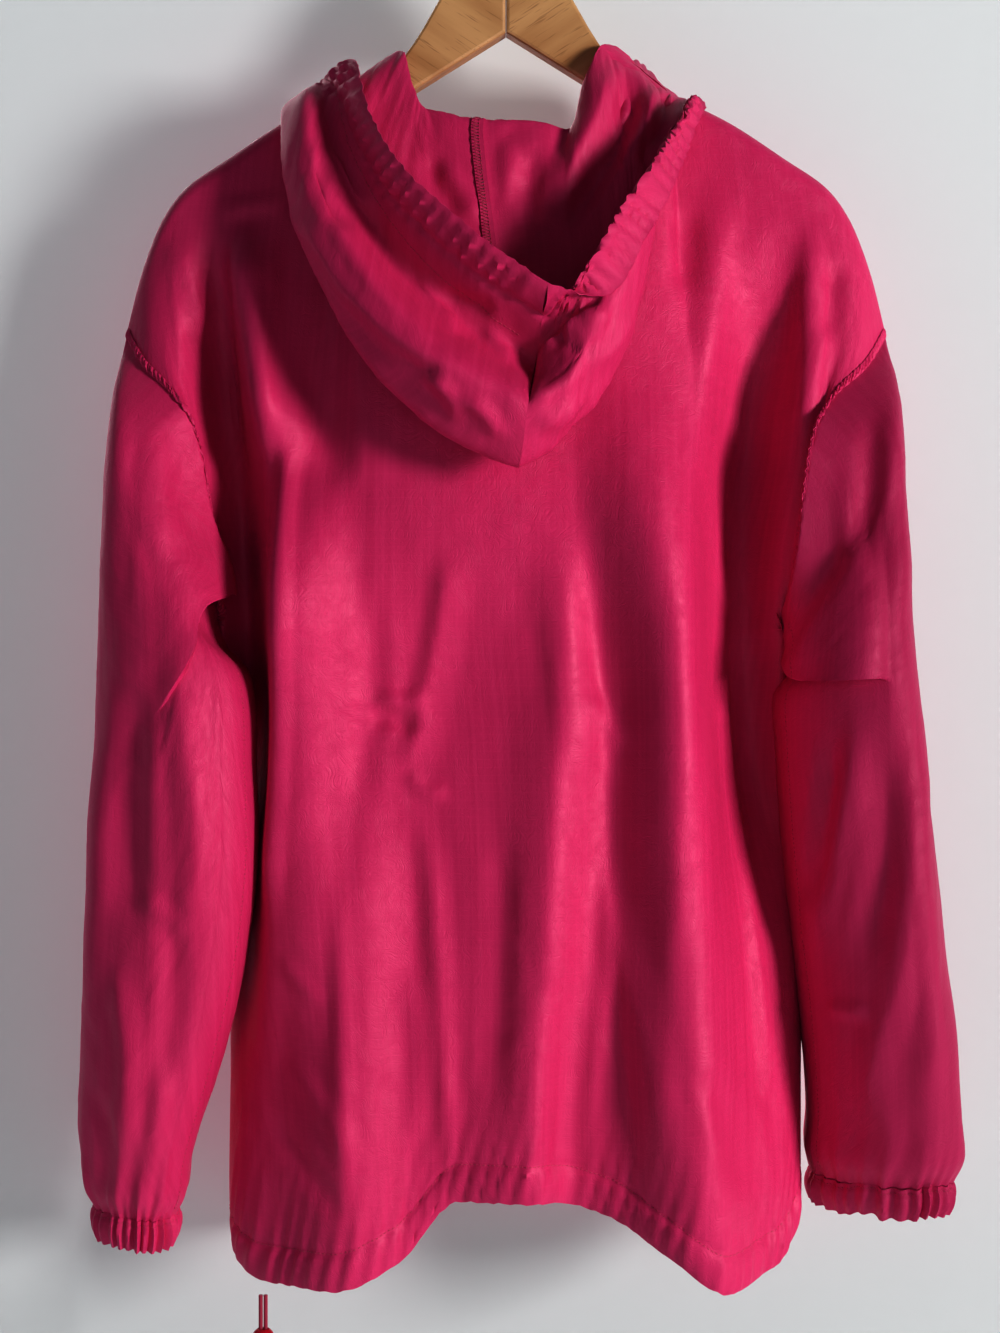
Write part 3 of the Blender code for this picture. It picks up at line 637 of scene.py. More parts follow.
    def neck_edge(self, turn: Array, side: Side) -> Array:
        """Give points of the neck edge; the turn runs from -90 degrees at the left shoulder."""
        across = np.sin(np.radians(turn))
        out = np.abs(np.cos(np.radians(turn)))
        low = self.neck_z[side]
        z = low + (self.neck_side_z - low) * np.abs(across) ** self.neck_power[side]
        return np.stack([self.neck_half_width * across, self.neck_reach[side] * out, z], axis=-1)

    def top_edge(self, share: Array, side: Side) -> Array:
        """Give the panel's top edge at shares of its half width, -1 at the left armhole."""
        size = np.abs(share)
        edge = self.neck_edge(np.clip(share / self.neck_share, -1, 1) * 90, side)
        x = np.sign(share) * smooth(self.shoulder["share"], self.shoulder["x"], size)
        z = smooth(self.shoulder["share"], self.shoulder["z"], size)
        line = np.stack([x, 0 * x, z], axis=-1)
        return np.where((size > self.neck_share)[..., None], line, edge)

    def section(self, share: Array, z: Array, side: Side) -> tuple[Array, Array]:
        """Give x and y of a section below the arms, without its folds."""
        left, right = self.size("left", z), self.size("right", z)
        across = np.sin(share * math.pi / 2)
        depth = self.size(side.name.lower(), z)
        full = (1 - np.abs(across) ** self.body_power).clip(0) ** (1 / self.body_power)
        x = (left + right) / 2 + (right - left) / 2 * across
        return x, side.value * depth * full + self.size("side", z) * across**2

    def folded(self, x: Array, y: Array, z: Array, side: Side, plane: Array) -> Array:
        """Add the largest folds to a panel's depth; they fade towards its seams."""
        room = ease(side.value * (y - plane) / self.fold_room)
        for x1, z1, x2, z2, x3, z3, left, right, height in zip(*self.folds[side].values()):
            line = smooth((-z1, -z2, -z3), (x1, x2, x3), -z)
            away = np.abs(x - line) / np.where(x < line, left, right)
            across = np.where(away < 1, (1 - away**2) ** 2, 0)
            along = np.clip((z1 - z) / (z1 - z3), 0, 1)
            end = 1 if z3 < self.hem_folds else ease((1 - along) / 0.3)
            y = y + side.value * height * across * ease(along / 0.25) * end * room
        return y

    def upper(self, share: Array, down: Array, side: Side) -> Array:
        """Give points above the underarm, at shares across and shares of the way down."""
        share, down = np.broadcast_arrays(np.asarray(share, float), np.asarray(down, float))
        top = self.top_edge(share, side)
        chest_x, chest_y = self.section(share, np.full_like(share, self.underarm_z), side)
        at_armhole = np.abs(share) ** self.armhole_power
        on_neck = np.cos(np.clip(share / self.neck_share, -1, 1) * math.pi / 2)
        inward = smooth(self.armhole["down"], self.armhole["inward"], down)
        reach = smooth(self.armhole["down"], self.armhole["reach"], down)
        z = top[..., 2] + (self.underarm_z - top[..., 2]) * down
        turn = inward * at_armhole + ease(down) * (1 - at_armhole)
        x = top[..., 0] + (chest_x - top[..., 0]) * turn
        drop = top[..., 2] - z
        wrap = np.sqrt(1 - np.clip(1 - drop / self.shoulder_round, 0, 1) ** 2)
        over = np.abs(top[..., 1]) + self.shoulder_round * wrap * (1 - on_neck)
        hung = over + (np.abs(chest_y) - over) * ease(down)
        y = side.value * (reach * at_armhole + hung * (1 - at_armhole))
        return np.stack([x, self.folded(x, y, z, side, np.zeros_like(y)), z], axis=-1)

    def lower(self, share: Array, z: Array, side: Side) -> Array:
        """Give points below the underarm, at shares across and heights."""
        x, y = self.section(share, z, side)
        lag = self.size("side", z) * np.sin(share * math.pi / 2) ** 2
        return np.stack([x, self.folded(x, y, z, side, lag), z], axis=-1)

    def hem_z(self, share: Array, side: Side) -> Array:
        """Give the height of the hem's edge."""
        return smooth(self.hem["share"], self.hem[side.name.lower()], share)


@dataclass
class SleeveForm:
    """One sleeve's rings below the armhole, and the fold of its upper half."""

    hand: Hand
    rings: dict
    lip: dict
    fold_top_z: float
    fold_way: float
    tilt: float = 0.0
    squareness: float = 0.80
    fold_tuck: float = 0.005
    fold_droop: float = 0.012
    fold_sink: float = 0.003

    def rows_along_lip(self, grid: Array, turn: Array) -> Array:
        """Slide the rows along each column until one of them follows the fold's lip.

        Args:
            grid: The sleeve's points, rows down it.
            turn: Each column's turn round the sleeve.

        Returns:
            The same surface with its rows moved.
        """
        lips = smooth(self.lip["turn"], self.lip["z"], np.degrees(turn))
        down = arc_along(grid, 0)
        above, tuck = int(len(grid) * 0.38), 12
        moved = np.empty_like(grid)
        for column, lip in enumerate(lips):
            fallen = np.maximum.accumulate(-grid[:, column, 2])
            start = max(0.014, np.interp(-lip, fallen, down[:, column]))
            end = start + self.fold_tuck
            at = np.concatenate(
                [
                    np.linspace(0, start, above, endpoint=False),
                    np.linspace(start, end, tuck, endpoint=False),
                    np.linspace(end, down[-1, column], len(grid) - above - tuck),
                ]
            )
            for k in range(3):
                moved[:, column, k] = np.interp(at, down[:, column], grid[:, column, k])
        return moved

    def fold(self, points: Array, turns: Array) -> Array:
        """Move points where the upper sleeve hangs over the lower one.

        Args:
            points: The sleeve's points, rows down it.
            turns: Their turn round the sleeve, 0 outside and a quarter at the back.

        Returns:
            How far each point moves.
        """
        z = points[..., 2]
        degrees = np.degrees(turns) + 0 * z
        lip = smooth(self.lip["turn"], self.lip["z"], degrees)
        height = smooth(self.lip["turn"], self.lip["height"], degrees)
        over = (z - lip) / (self.fold_top_z - lip)
        grown = np.where(z > lip, ease(1 - over) ** 1.4, 1.0)
        below = np.clip((lip - z) / self.fold_tuck, 0, 1)
        kept = grown * (1 - ease(below))
        sunk = ease(below) * np.exp(-(((lip - z) / 0.040) ** 2))
        way = math.radians(self.fold_way)
        towards = np.array((self.hand.value * math.cos(way), -math.sin(way), 0))
        out = unit(points - points.mean(axis=1, keepdims=True)) * (1, 1, 0)
        near = np.where(z > lip, np.exp(-(((z - lip) / 0.022) ** 2)), 1 - below)
        strength = height / self.lip["height"].max()
        return (
            (height * kept)[..., None] * towards
            - (self.fold_sink * strength * sunk)[..., None] * out
            + (near * strength * self.fold_droop)[..., None] * np.array((0, 0, -1.0))
        )


# The hood's sections: the turn in degrees and the rest in millimetres, for the left half, the
# middle that both halves share, and the right half. HoodForm names the columns.
HOOD_SECTIONS = (
    (
        (-179, -4, 56, -236, -8, 64, -241, -9.6, 67, -245, -10, 68, -246, 0, 0, 0),
        (-150, -52, 54, -196, -66, 70, -206, -69, 73, -212, -70, 74, -214, 0, 0, 0),
        (-120, -84, 34, -150, -114, 42, -174, -108, 54, -163, -106, 56, -160, 3, 0, 0),
        (-98, -74, 6, -138, -134, 6, -167, -106, 8, -152, -99, 12, -148, 5, 3, 0),
        (-84, -66, -13, -142, -139, -30, -188, -102, -34, -162, -91, -46, -156, 3, 9, 4),
        (-70, -60, -22, -163, -128, -57, -255, -89, -60, -208, -80, -78, -198, 0, 14, 8),
        (-52, -52, -27, -177, -93, -72, -328, -66, -77, -250, -60, -96, -232, 0, 18, 12),
        (-28, -35, -30, -183, -48, -80, -379, -27, -88, -289, -22, -106, -269, 0, 20, 15),
    ),
    (0, -13, -31, -187, 7, -81, -407, 21, -90, -320, 24, -109, -303, 0, 20, 12),
    (
        (28, 21, -31, -188, 40, -80, -384, 48, -105, -290, 61, -98, -307, 0, 14, 4),
        (52, 42, -29, -196, 66, -76, -345, 68, -100, -258, 82, -91, -273, 0, 8, 0),
        (70, 54, -21, -163, 81, -67, -300, 87, -86, -228, 97, -77, -244, 0, 4, 0),
        (84, 63, -13, -137, 92, -50, -240, 103, -65, -198, 110, -58, -212, 0, 2, 0),
        (98, 76, 6, -137, 110, -29, -184, 116, -38, -174, 122, -33, -180, 0, 1, 0),
        (120, 92, 38, -150, 114, 36, -160, 120, 37, -163, 122, 38, -164, 0, 0, 0),
        (150, 55, 54, -197, 68, 70, -206, 72, 73, -212, 73, 74, -214, 0, 0, 0),
        (179, 4, 56, -236, 8, 64, -241, 9.6, 67, -245, 10, 68, -246, 0, 0, 0),
    ),
)


@dataclass
class HoodForm:
    """The lying hood: sections round the neck, from the neck seam over the crest to the rim."""

    neck_gap: float = 0.0018
    casing: float = 0.024
    casing_share: float = 0.42
    knots: tuple = (0, 0.12, 0.36, 0.58, 0.69, 0.80, 0.90, 1.0)
    columns: str = (
        "turn crest_x crest_y crest_z base_x base_y base_z band_x band_y band_z "
        "rim_x rim_y rim_z sink lip cave"
    )

    def stations(self, hand: Hand) -> dict[str, Array]:
        """Give one half's sections, in order of their turn round the neck."""
        left, middle, right = HOOD_SECTIONS
        rows = (*left, middle) if hand is Hand.LEFT else (middle, *right)
        sizes = table(self.columns, *rows)
        return {name: each / (1 if name == "turn" else 1000) for name, each in sizes.items()}

    def neck_point(self, body: BodyForm, turn: float) -> Array:
        """Give the hood's sewn point at a turn round the neck, just clear of the panels."""
        side = Side.BACK if abs(turn) <= 90 else Side.FRONT
        around = turn if side is Side.BACK else math.copysign(180, turn) - turn
        share = np.full(2, around / 90 * body.neck_share)
        near = body.upper(share, np.array((0, 0.022)), side)
        return near[0] + unit(near[0] - near[1]) * self.neck_gap

    def surface(self, body: BodyForm, hand: Hand, columns: int, rows: int) -> tuple[Array, Array]:
        """Make one half's surface.

        Args:
            body: The body that it is sewn to.
            hand: Which half.
            columns: Points round the neck.
            rows: Points from the neck to the rim.

        Returns:
            The grid, its first row at the neck, and each point's place on its section, where
            the crest is at 0.12, the base at 0.58 and the rim at 1.
        """
        stations = self.stations(hand)
        knots = np.arange(len(stations["turn"]))
        index = np.linspace(0, knots[-1], columns)
        grid, places = [], []
        for row in flowing(knots, np.column_stack(list(stations.values())), index):
            crest, base, band, rim = row[1:13].reshape(4, 3)
            sink, lip, cave = row[13:]
            inner = (crest + base) / 2 - (0, 0, sink)
            ridge = base + (band - base) * 0.40 - (0, lip, 0)
            hollow = base + (band - base) * 0.72 + (0, cave, 0)
            start = self.neck_point(body, row[0])
            profile = np.array([start, crest, inner, base, ridge, hollow, band, rim])
            fine = np.linspace(0, 1, 241)
            curve = flowing(self.knots, profile, fine)
            reach = arc_along(curve[:, None], 0)[:, 0]
            at = np.interp(np.linspace(0, reach[-1], rows), reach, fine)
            grid.append(flowing(self.knots, profile, at))
            places.append(at)
        return np.array(grid).transpose(1, 0, 2), np.array(places).T


# ---- finishes -----------------------------------------------------------------------------
class Nodes:
    """A short way to add and join the nodes of a tree."""

    def __init__(self, tree: bpy.types.NodeTree) -> None:
        """Keep the tree that the nodes go into."""
        self.tree = tree

    def add(self, kind: str, inputs: dict | None = None, **settings: object) -> bpy.types.Node:
        """Add a node.

        Args:
            kind: The node's type.
            inputs: A value or another node's output for each named or numbered input.
            settings: The node's own properties.

        Returns:
            The node.
        """
        node = self.tree.nodes.new(kind)
        for name, value in settings.items():
            setattr(node, name, value)
        self.feed(node, inputs or {})
        return node

    def feed(self, node: bpy.types.Node, inputs: dict) -> None:
        """Give a node's inputs their values, or join them to other nodes' outputs."""
        for key, value in inputs.items():
            if isinstance(value, bpy.types.NodeSocket):
                self.tree.links.new(value, node.inputs[key])
            else:
                node.inputs[key].default_value = value

    def bump(self, height: object, strength: float, distance: float, **inputs: object) -> object:
        """Add a Bump node and give its normal."""
        sizes = {"Height": height, "Strength": strength, "Distance": distance, **inputs}
        return self.add("ShaderNodeBump", sizes).outputs[0]

    def maths(self, operation: str, *values: object) -> bpy.types.NodeSocket:
        """Add a Math node and give its output."""
        return self.add("ShaderNodeMath", dict(enumerate(values)), operation=operation).outputs[0]

    def noise(self, vector: bpy.types.NodeSocket, scale: float, detail: float) -> object:
        """Add a noise texture and give its value."""
        inputs = {"Vector": vector, "Scale": scale, "Detail": detail, "Roughness": 0.55}
        return self.add("ShaderNodeTexNoise", inputs).outputs["Fac"]

    def ranged(self, value: object, low: float, high: float, start: float, end: float) -> object:
        """Map a value from one range to another, held at both ends."""
        inputs = {"Value": value, "From Min": low, "From Max": high, "To Min": start, "To Max": end}
        return self.add("ShaderNodeMapRange", inputs).outputs["Result"]

    def scaled(self, vector: object, scale: tuple[float, float, float]) -> object:
        """Scale a vector by a number for each axis."""
        inputs = {"Vector": vector, "Scale": scale}
        return self.add("ShaderNodeMapping", inputs, vector_type="POINT").outputs["Vector"]

    def mixed(self, share: object, first: object, second: object) -> object:
        """Mix two colours by a share."""
        node = self.add("ShaderNodeMix", {"Factor": share}, data_type="RGBA")
        self.feed(node, {6: first, 7: second})
        return node.outputs[2]


def new_group(name: str, inputs: dict[str, float], outputs: list[str]) -> tuple:
    """Start a shader group with named number sockets.

    Args:
        name: The group's name.
        inputs: A default for each input.
        outputs: The outputs' names.

    Returns:
        The group, its nodes, its input node and its output node.
    """
    group = bpy.data.node_groups.new(name, "ShaderNodeTree")
    for key, value in inputs.items():
        socket = group.interface.new_socket(key, in_out="INPUT", socket_type="NodeSocketFloat")
        socket.default_value = value
    for key in outputs:
        group.interface.new_socket(key, in_out="OUTPUT", socket_type="NodeSocketFloat")
    nodes = Nodes(group)
    return group, nodes, nodes.add("NodeGroupInput"), nodes.add("NodeGroupOutput")


def ripstop_group() -> bpy.types.NodeTree:
    """The weave: a raised thread every few millimetres both ways, over fine uneven yarns.

    Returns:
        A group that gives the ripstop lines, the yarns' height and the cloth's long streaks.
    """
    group, nodes, given, made = new_group(
        "ripstop weave", {"Spacing": 0.005, "Line Width": 0.085}, ["Lines", "Yarns", "Streaks"]
    )
    flat = nodes.add("ShaderNodeUVMap", uv_map="flat").outputs["UV"]
    wander = nodes.noise(nodes.scaled(flat, (40, 40, 1)), 1.0, 1.0)
    parts = nodes.add("ShaderNodeSeparateXYZ", {0: flat})
    masks = []
    for axis, weight in ((0, 0.55), (1, 1.0)):
        shifted = nodes.maths("ADD", parts.outputs[axis], nodes.maths("MULTIPLY", wander, 0.0022))
        cell = nodes.maths("FRACT", nodes.maths("DIVIDE", shifted, given.outputs["Spacing"]))
        away = nodes.maths("ABSOLUTE", nodes.maths("SUBTRACT", cell, 0.5))
        line = nodes.add(
            "ShaderNodeMapRange",
            {"Value": away, "From Min": given.outputs["Line Width"], "From Max": 0.0,
             "To Min": 0.0, "To Max": weight},
            interpolation_type="SMOOTHSTEP",
        )  # fmt: skip
        masks.append(line.outputs["Result"])
    warp = nodes.noise(nodes.scaled(flat, (1500, 26, 1)), 1.0, 2.0)
    weft = nodes.noise(nodes.scaled(flat, (22, 1500, 1)), 1.0, 2.0)
    long = nodes.noise(nodes.scaled(flat, (260, 5, 1)), 1.0, 3.0)
    broken = nodes.noise(nodes.scaled(flat, (55, 30, 1)), 1.0, 2.0)
    lines = nodes.maths("MULTIPLY", nodes.maths("MAXIMUM", *masks), broken)
    out = {"Lines": lines, "Yarns": nodes.maths("ADD", warp, weft), "Streaks": long}
    for key, value in out.items():
        group.links.new(value, made.inputs[key])
    return group


def crinkle_group() -> bpy.types.NodeTree:
    """Fine crinkles of packed nylon, as heights from about -1 to 0, and their patches."""
    group, nodes, given, made = new_group("fine crinkles", {"Size": 1.0}, ["Height", "Patches"])
    flat = nodes.add("ShaderNodeUVMap", uv_map="flat").outputs["UV"]
    bent = nodes.add(
        "ShaderNodeTexNoise", {"Vector": flat, "Scale": 26.0, "Detail": 2.0}
    ).outputs["Color"]
    # The noise's square is added to the place, which is in metres.
    place = nodes.add(
        "ShaderNodeVectorMath", {0: bent, 1: bent, 2: flat}, operation="MULTIPLY_ADD"
    ).outputs[0]
    heights = []
    for across, down, weight in ((60, 26, 0.62), (130, 80, 0.28), (300, 240, 0.10)):
        value = nodes.noise(nodes.scaled(place, (across, down, 1)), 1.0, 2.0)
        ridge = nodes.maths("ABSOLUTE", nodes.maths("SUBTRACT", value, 0.5))
        heights.append(nodes.maths("MULTIPLY", ridge, -2.0 * weight))
    patches = nodes.noise(nodes.scaled(flat, (9, 6, 1)), 1.0, 2.0)
    total = heights[0]
    for extra in heights[1:]:
        total = nodes.maths("ADD", total, extra)
    strength = nodes.ranged(patches, 0.35, 0.65, 0.45, 1.0)
    height = nodes.maths("MULTIPLY", nodes.maths("MULTIPLY", total, strength), given.outputs[0])
    group.links.new(height, made.inputs["Height"])
    group.links.new(patches, made.inputs["Patches"])
    return group


def grain_group() -> bpy.types.NodeTree:
    """Wood grain that runs along X of the place it is given.

    Returns:
        A group that gives the growth rings' colour share, the pores and their height.
    """
    group = bpy.data.node_groups.new("wood grain", "ShaderNodeTree")
    group.interface.new_socket("Place", in_out="INPUT", socket_type="NodeSocketVector")
    for key in ("Rings", "Pores"):
        group.interface.new_socket(key, in_out="OUTPUT", socket_type="NodeSocketFloat")
    nodes = Nodes(group)
    given, made = nodes.add("NodeGroupInput"), nodes.add("NodeGroupOutput")
    place = given.outputs[0]
    sway = nodes.noise(nodes.scaled(place, (7, 22, 22)), 1.0, 2.0)
    rings = nodes.noise(nodes.scaled(place, (6, 150, 60)), 1.0, 3.0)
    mixed = nodes.maths("ADD", nodes.maths("MULTIPLY", sway, 0.55), nodes.maths("MULTIPLY", rings, 0.5))
    pores = nodes.noise(nodes.scaled(place, (60, 1500, 900)), 1.0, 1.0)
    group.links.new(mixed, made.inputs["Rings"])
    group.links.new(nodes.ranged(pores, 0.62, 0.74, 0.0, 1.0), made.inputs["Pores"])
    return group


def blank(name: str) -> tuple[bpy.types.Material, Nodes, bpy.types.Node]:
    """Start a material with a Principled shader.

    Returns:
        The material, its nodes and the shader.
    """
    material = bpy.data.materials.new(name)
    material.use_nodes = True
    tree = material.node_tree
    return material, Nodes(tree), tree.nodes["Principled BSDF"]


@dataclass(frozen=True)
class NylonFinish:
    """Glossy dyed ripstop nylon."""

    name: str
    colour: tuple = (0.620, 0.0380, 0.1600, 1)
    light: tuple = (0.700, 0.0540, 0.2000, 1)
    deep: tuple = (0.560, 0.0300, 0.1400, 1)
    roughness: float = 0.46
    sheen: float = 0.06
    crinkle: float = 1.0

    def material(self, groups: dict[str, bpy.types.NodeTree]) -> bpy.types.Material:
        """Make the material from the shared weave and crinkle groups."""
        material, nodes, shader = blank(self.name)
        weave = nodes.add("ShaderNodeGroup", node_tree=groups["ripstop"])
        crinkle = nodes.add("ShaderNodeGroup", {"Size": self.crinkle}, node_tree=groups["crinkle"])
        lines, yarns, streaks = (weave.outputs[k] for k in ("Lines", "Yarns", "Streaks"))
        patched = nodes.mixed(
            nodes.ranged(crinkle.outputs["Patches"], 0.35, 0.65, 0.0, 1.0), self.deep, self.colour
        )
        streaked = nodes.mixed(nodes.ranged(streaks, 0.42, 0.66, 0.0, 0.30), patched, self.light)
        lined = nodes.mixed(nodes.maths("MULTIPLY", lines, 0.45), streaked, self.light)
        rough = nodes.maths(
            "ADD",
            nodes.ranged(streaks, 0.35, 0.65, self.roughness - 0.035, self.roughness + 0.045),
            nodes.maths("MULTIPLY", yarns, 0.02),
        )
        fine = nodes.maths(
            "ADD", nodes.maths("MULTIPLY", yarns, 0.10), nodes.maths("MULTIPLY", lines, 0.5)
        )
        weave_bump = nodes.bump(fine, 0.35, 0.0001)
        bump = nodes.bump(crinkle.outputs["Height"], 0.50, 0.0009, Normal=weave_bump)
        nodes.feed(shader, {
            "Base Color": lined, "Roughness": rough, "Normal": bump, "IOR": 1.53,
            "Sheen Weight": self.sheen, "Sheen Roughness": 0.35, "Sheen Tint": (1.0, 0.20, 0.40, 1),
            "Specular IOR Level": 0.50, "Specular Tint": (1.0, 0.45, 0.60, 1),
        })  # fmt: skip
        material.diffuse_color = self.colour
        return material


@dataclass(frozen=True)
class ThreadFinish:
    """Twisted polyester sewing thread."""

    name: str = "crimson_thread"
    colour: tuple = (0.400, 0.0150, 0.0750, 1)
    light: tuple = (0.640, 0.0600, 0.1600, 1)

    def material(self) -> bpy.types.Material:
        """Make the material, with the thread's twist as fine diagonal bands."""
        material, nodes, shader = blank(self.name)
        place = nodes.add("ShaderNodeTexCoord").outputs["Object"]
        twist = nodes.add(
            "ShaderNodeTexWave",
            {"Vector": place, "Scale": 900.0, "Distortion": 2.0, "Detail": 1.0},
            bands_direction="DIAGONAL",
        ).outputs["Fac"]
        nodes.feed(shader, {
            "Base Color": nodes.mixed(twist, self.colour, self.light), "Roughness": 0.52,
            "Normal": nodes.bump(twist, 0.4, 0.0001), "Sheen Weight": 0.2,
        })  # fmt: skip
        return material


@dataclass(frozen=True)
class ElasticFinish:
    """A round elastic cord in a braided sleeve."""

    name: str = "braided_elastic"
    colour: tuple = (0.330, 0.0090, 0.0480, 1)
    light: tuple = (0.560, 0.0350, 0.1200, 1)

    def material(self) -> bpy.types.Material:
        """Make the material, with the braid as crossed diagonal bands."""
        material, nodes, shader = blank(self.name)
        place = nodes.add("ShaderNodeTexCoord").outputs["Object"]
        bands = []
        for turn in (0.9, -0.9):
            tilted = nodes.add("ShaderNodeMapping", {"Vector": place, "Rotation": (0, turn, 0)})
            inputs = {"Vector": tilted.outputs[0], "Scale": 380.0}
            wave = nodes.add("ShaderNodeTexWave", inputs, bands_direction="Z")
            bands.append(wave.outputs["Fac"])
        braid = nodes.maths("MULTIPLY", *bands)
        nodes.feed(shader, {
            "Base Color": nodes.mixed(braid, self.colour, self.light), "Roughness": 0.55,
            "Normal": nodes.bump(braid, 0.7, 0.0003), "Sheen Weight": 0.3,
        })  # fmt: skip
        return material


@dataclass(frozen=True)
class BeadFinish:
    """A moulded bead of glossy red plastic, with fine scuffs."""

    name: str = "red_bead"
    colour: tuple = (0.560, 0.0160, 0.0400, 1)
    worn: tuple = (0.450, 0.0120, 0.0320, 1)

    def material(self) -> bpy.types.Material:
        """Make the material."""
        material, nodes, shader = blank(self.name)
        place = nodes.add("ShaderNodeTexCoord").outputs["Object"]
        cloud = nodes.noise(place, 220.0, 3.0)
        scuff = nodes.ranged(nodes.noise(nodes.scaled(place, (900, 900, 140)), 1.0, 2.0), 0.5, 0.7, 0, 1)
        nodes.feed(shader, {
            "Base Color": nodes.mixed(cloud, self.worn, self.colour),
            "Roughness": nodes.ranged(scuff, 0, 1, 0.16, 0.38),
            "Normal": nodes.bump(scuff, 0.15, 0.0001), "Coat Weight": 0.4, "Coat Roughness": 0.08,
        })  # fmt: skip
        return material


@dataclass(frozen=True)
class WoodFinish:
    """Pale varnished wood, its grain running along a sloping arm."""

    name: str
    slope: float
    pale: tuple = (0.640, 0.385, 0.190, 1)
    dark: tuple = (0.420, 0.205, 0.080, 1)
    pore: tuple = (0.260, 0.120, 0.045, 1)

    def material(self, grain: bpy.types.NodeTree) -> bpy.types.Material:
        """Make the material from the shared grain group."""
        material, nodes, shader = blank(self.name)
        place = nodes.add("ShaderNodeTexCoord").outputs["Object"]
        turned = nodes.add("ShaderNodeMapping", {"Vector": place, "Rotation": (0, self.slope, 0)})
        wood = nodes.add("ShaderNodeGroup", {"Place": turned.outputs[0]}, node_tree=grain)
        rings, pores = wood.outputs["Rings"], wood.outputs["Pores"]
        toned = nodes.mixed(nodes.ranged(rings, 0.40, 0.66, 0, 1), self.pale, self.dark)
        full = nodes.mixed(nodes.maths("MULTIPLY", pores, 0.55), toned, self.pore)
        nodes.feed(shader, {
            "Base Color": full, "Roughness": nodes.ranged(rings, 0.3, 0.7, 0.34, 0.46),
            "Normal": nodes.bump(pores, 0.3, -0.0001), "Coat Weight": 0.35, "Coat Roughness": 0.22,
        })  # fmt: skip
        return material


@dataclass(frozen=True)
class SteelFinish:
    """Bright drawn steel wire."""

    name: str = "hook_wire"
    colour: tuple = (0.60, 0.60, 0.61, 1)
    dull: tuple = (0.42, 0.42, 0.43, 1)

    def material(self) -> bpy.types.Material:
        """Make the material."""
        material, nodes, shader = blank(self.name)
        place = nodes.add("ShaderNodeTexCoord").outputs["Object"]
        cloud = nodes.noise(place, 120.0, 3.0)
        drawn = nodes.noise(nodes.scaled(place, (900, 900, 90)), 1.0, 2.0)
        nodes.feed(shader, {
            "Base Color": nodes.mixed(cloud, self.dull, self.colour),
            "Roughness": nodes.ranged(drawn, 0.3, 0.7, 0.16, 0.32), "Metallic": 1.0,
        })  # fmt: skip
        return material


@dataclass
class Finishes:
    """Every material of the piece, made once."""

    nylon: bpy.types.Material = None
    inside: bpy.types.Material = None
    thread: bpy.types.Material = None
    elastic: bpy.types.Material = None
    bead: bpy.types.Material = None
    wood: dict = field(default_factory=dict)
    steel: bpy.types.Material = None

    def make(self) -> "Finishes":
        """Make them all and return this set."""
        groups = {"ripstop": ripstop_group(), "crinkle": crinkle_group()}
        grain = grain_group()
        self.nylon = NylonFinish("crimson_nylon").material(groups)
        self.inside = NylonFinish(
            "crimson_nylon_inside",
            colour=(0.600, 0.0400, 0.1600, 1),
            light=(0.680, 0.0560, 0.2000, 1),
            deep=(0.540, 0.0320, 0.1400, 1),
            roughness=0.55,
        ).material(groups)
        self.thread = ThreadFinish().material()
        self.elastic = ElasticFinish().material()
        self.bead = BeadFinish().material()
        self.wood = {
            Hand.LEFT: WoodFinish("varnished_wood_left", slope=-0.58).material(grain),
            Hand.RIGHT: WoodFinish("varnished_wood_right", slope=0.58).material(grain),
        }
        self.steel = SteelFinish().material()
        return self


# ---- the cloth pieces ---------------------------------------------------------------------
CLOTH_THICK = 0.0005


@dataclass
class Worn:
    """How crumpled a piece is: wide dents, mid crinkles and small ones, in metres."""

    wide: float = 0.0008
    middle: float = 0.00046
    small: float = 0.00018
    seed: int = 1

    def relief(self, flat: Array) -> Array:
        """Give the height of the crumples at flat places."""
        mood = 0.65 + 0.35 * drift(flat[..., 0] / 0.07, flat[..., 1] / 0.10, self.seed + 40)
        return mood * (
            self.wide * crumple(flat, 0.046, 2.1, self.seed)
            + self.middle * crumple(flat, 0.021, 1.5, self.seed + 3)
            + self.small * crumple(flat, 0.0095, 1.2, self.seed + 6)
        )


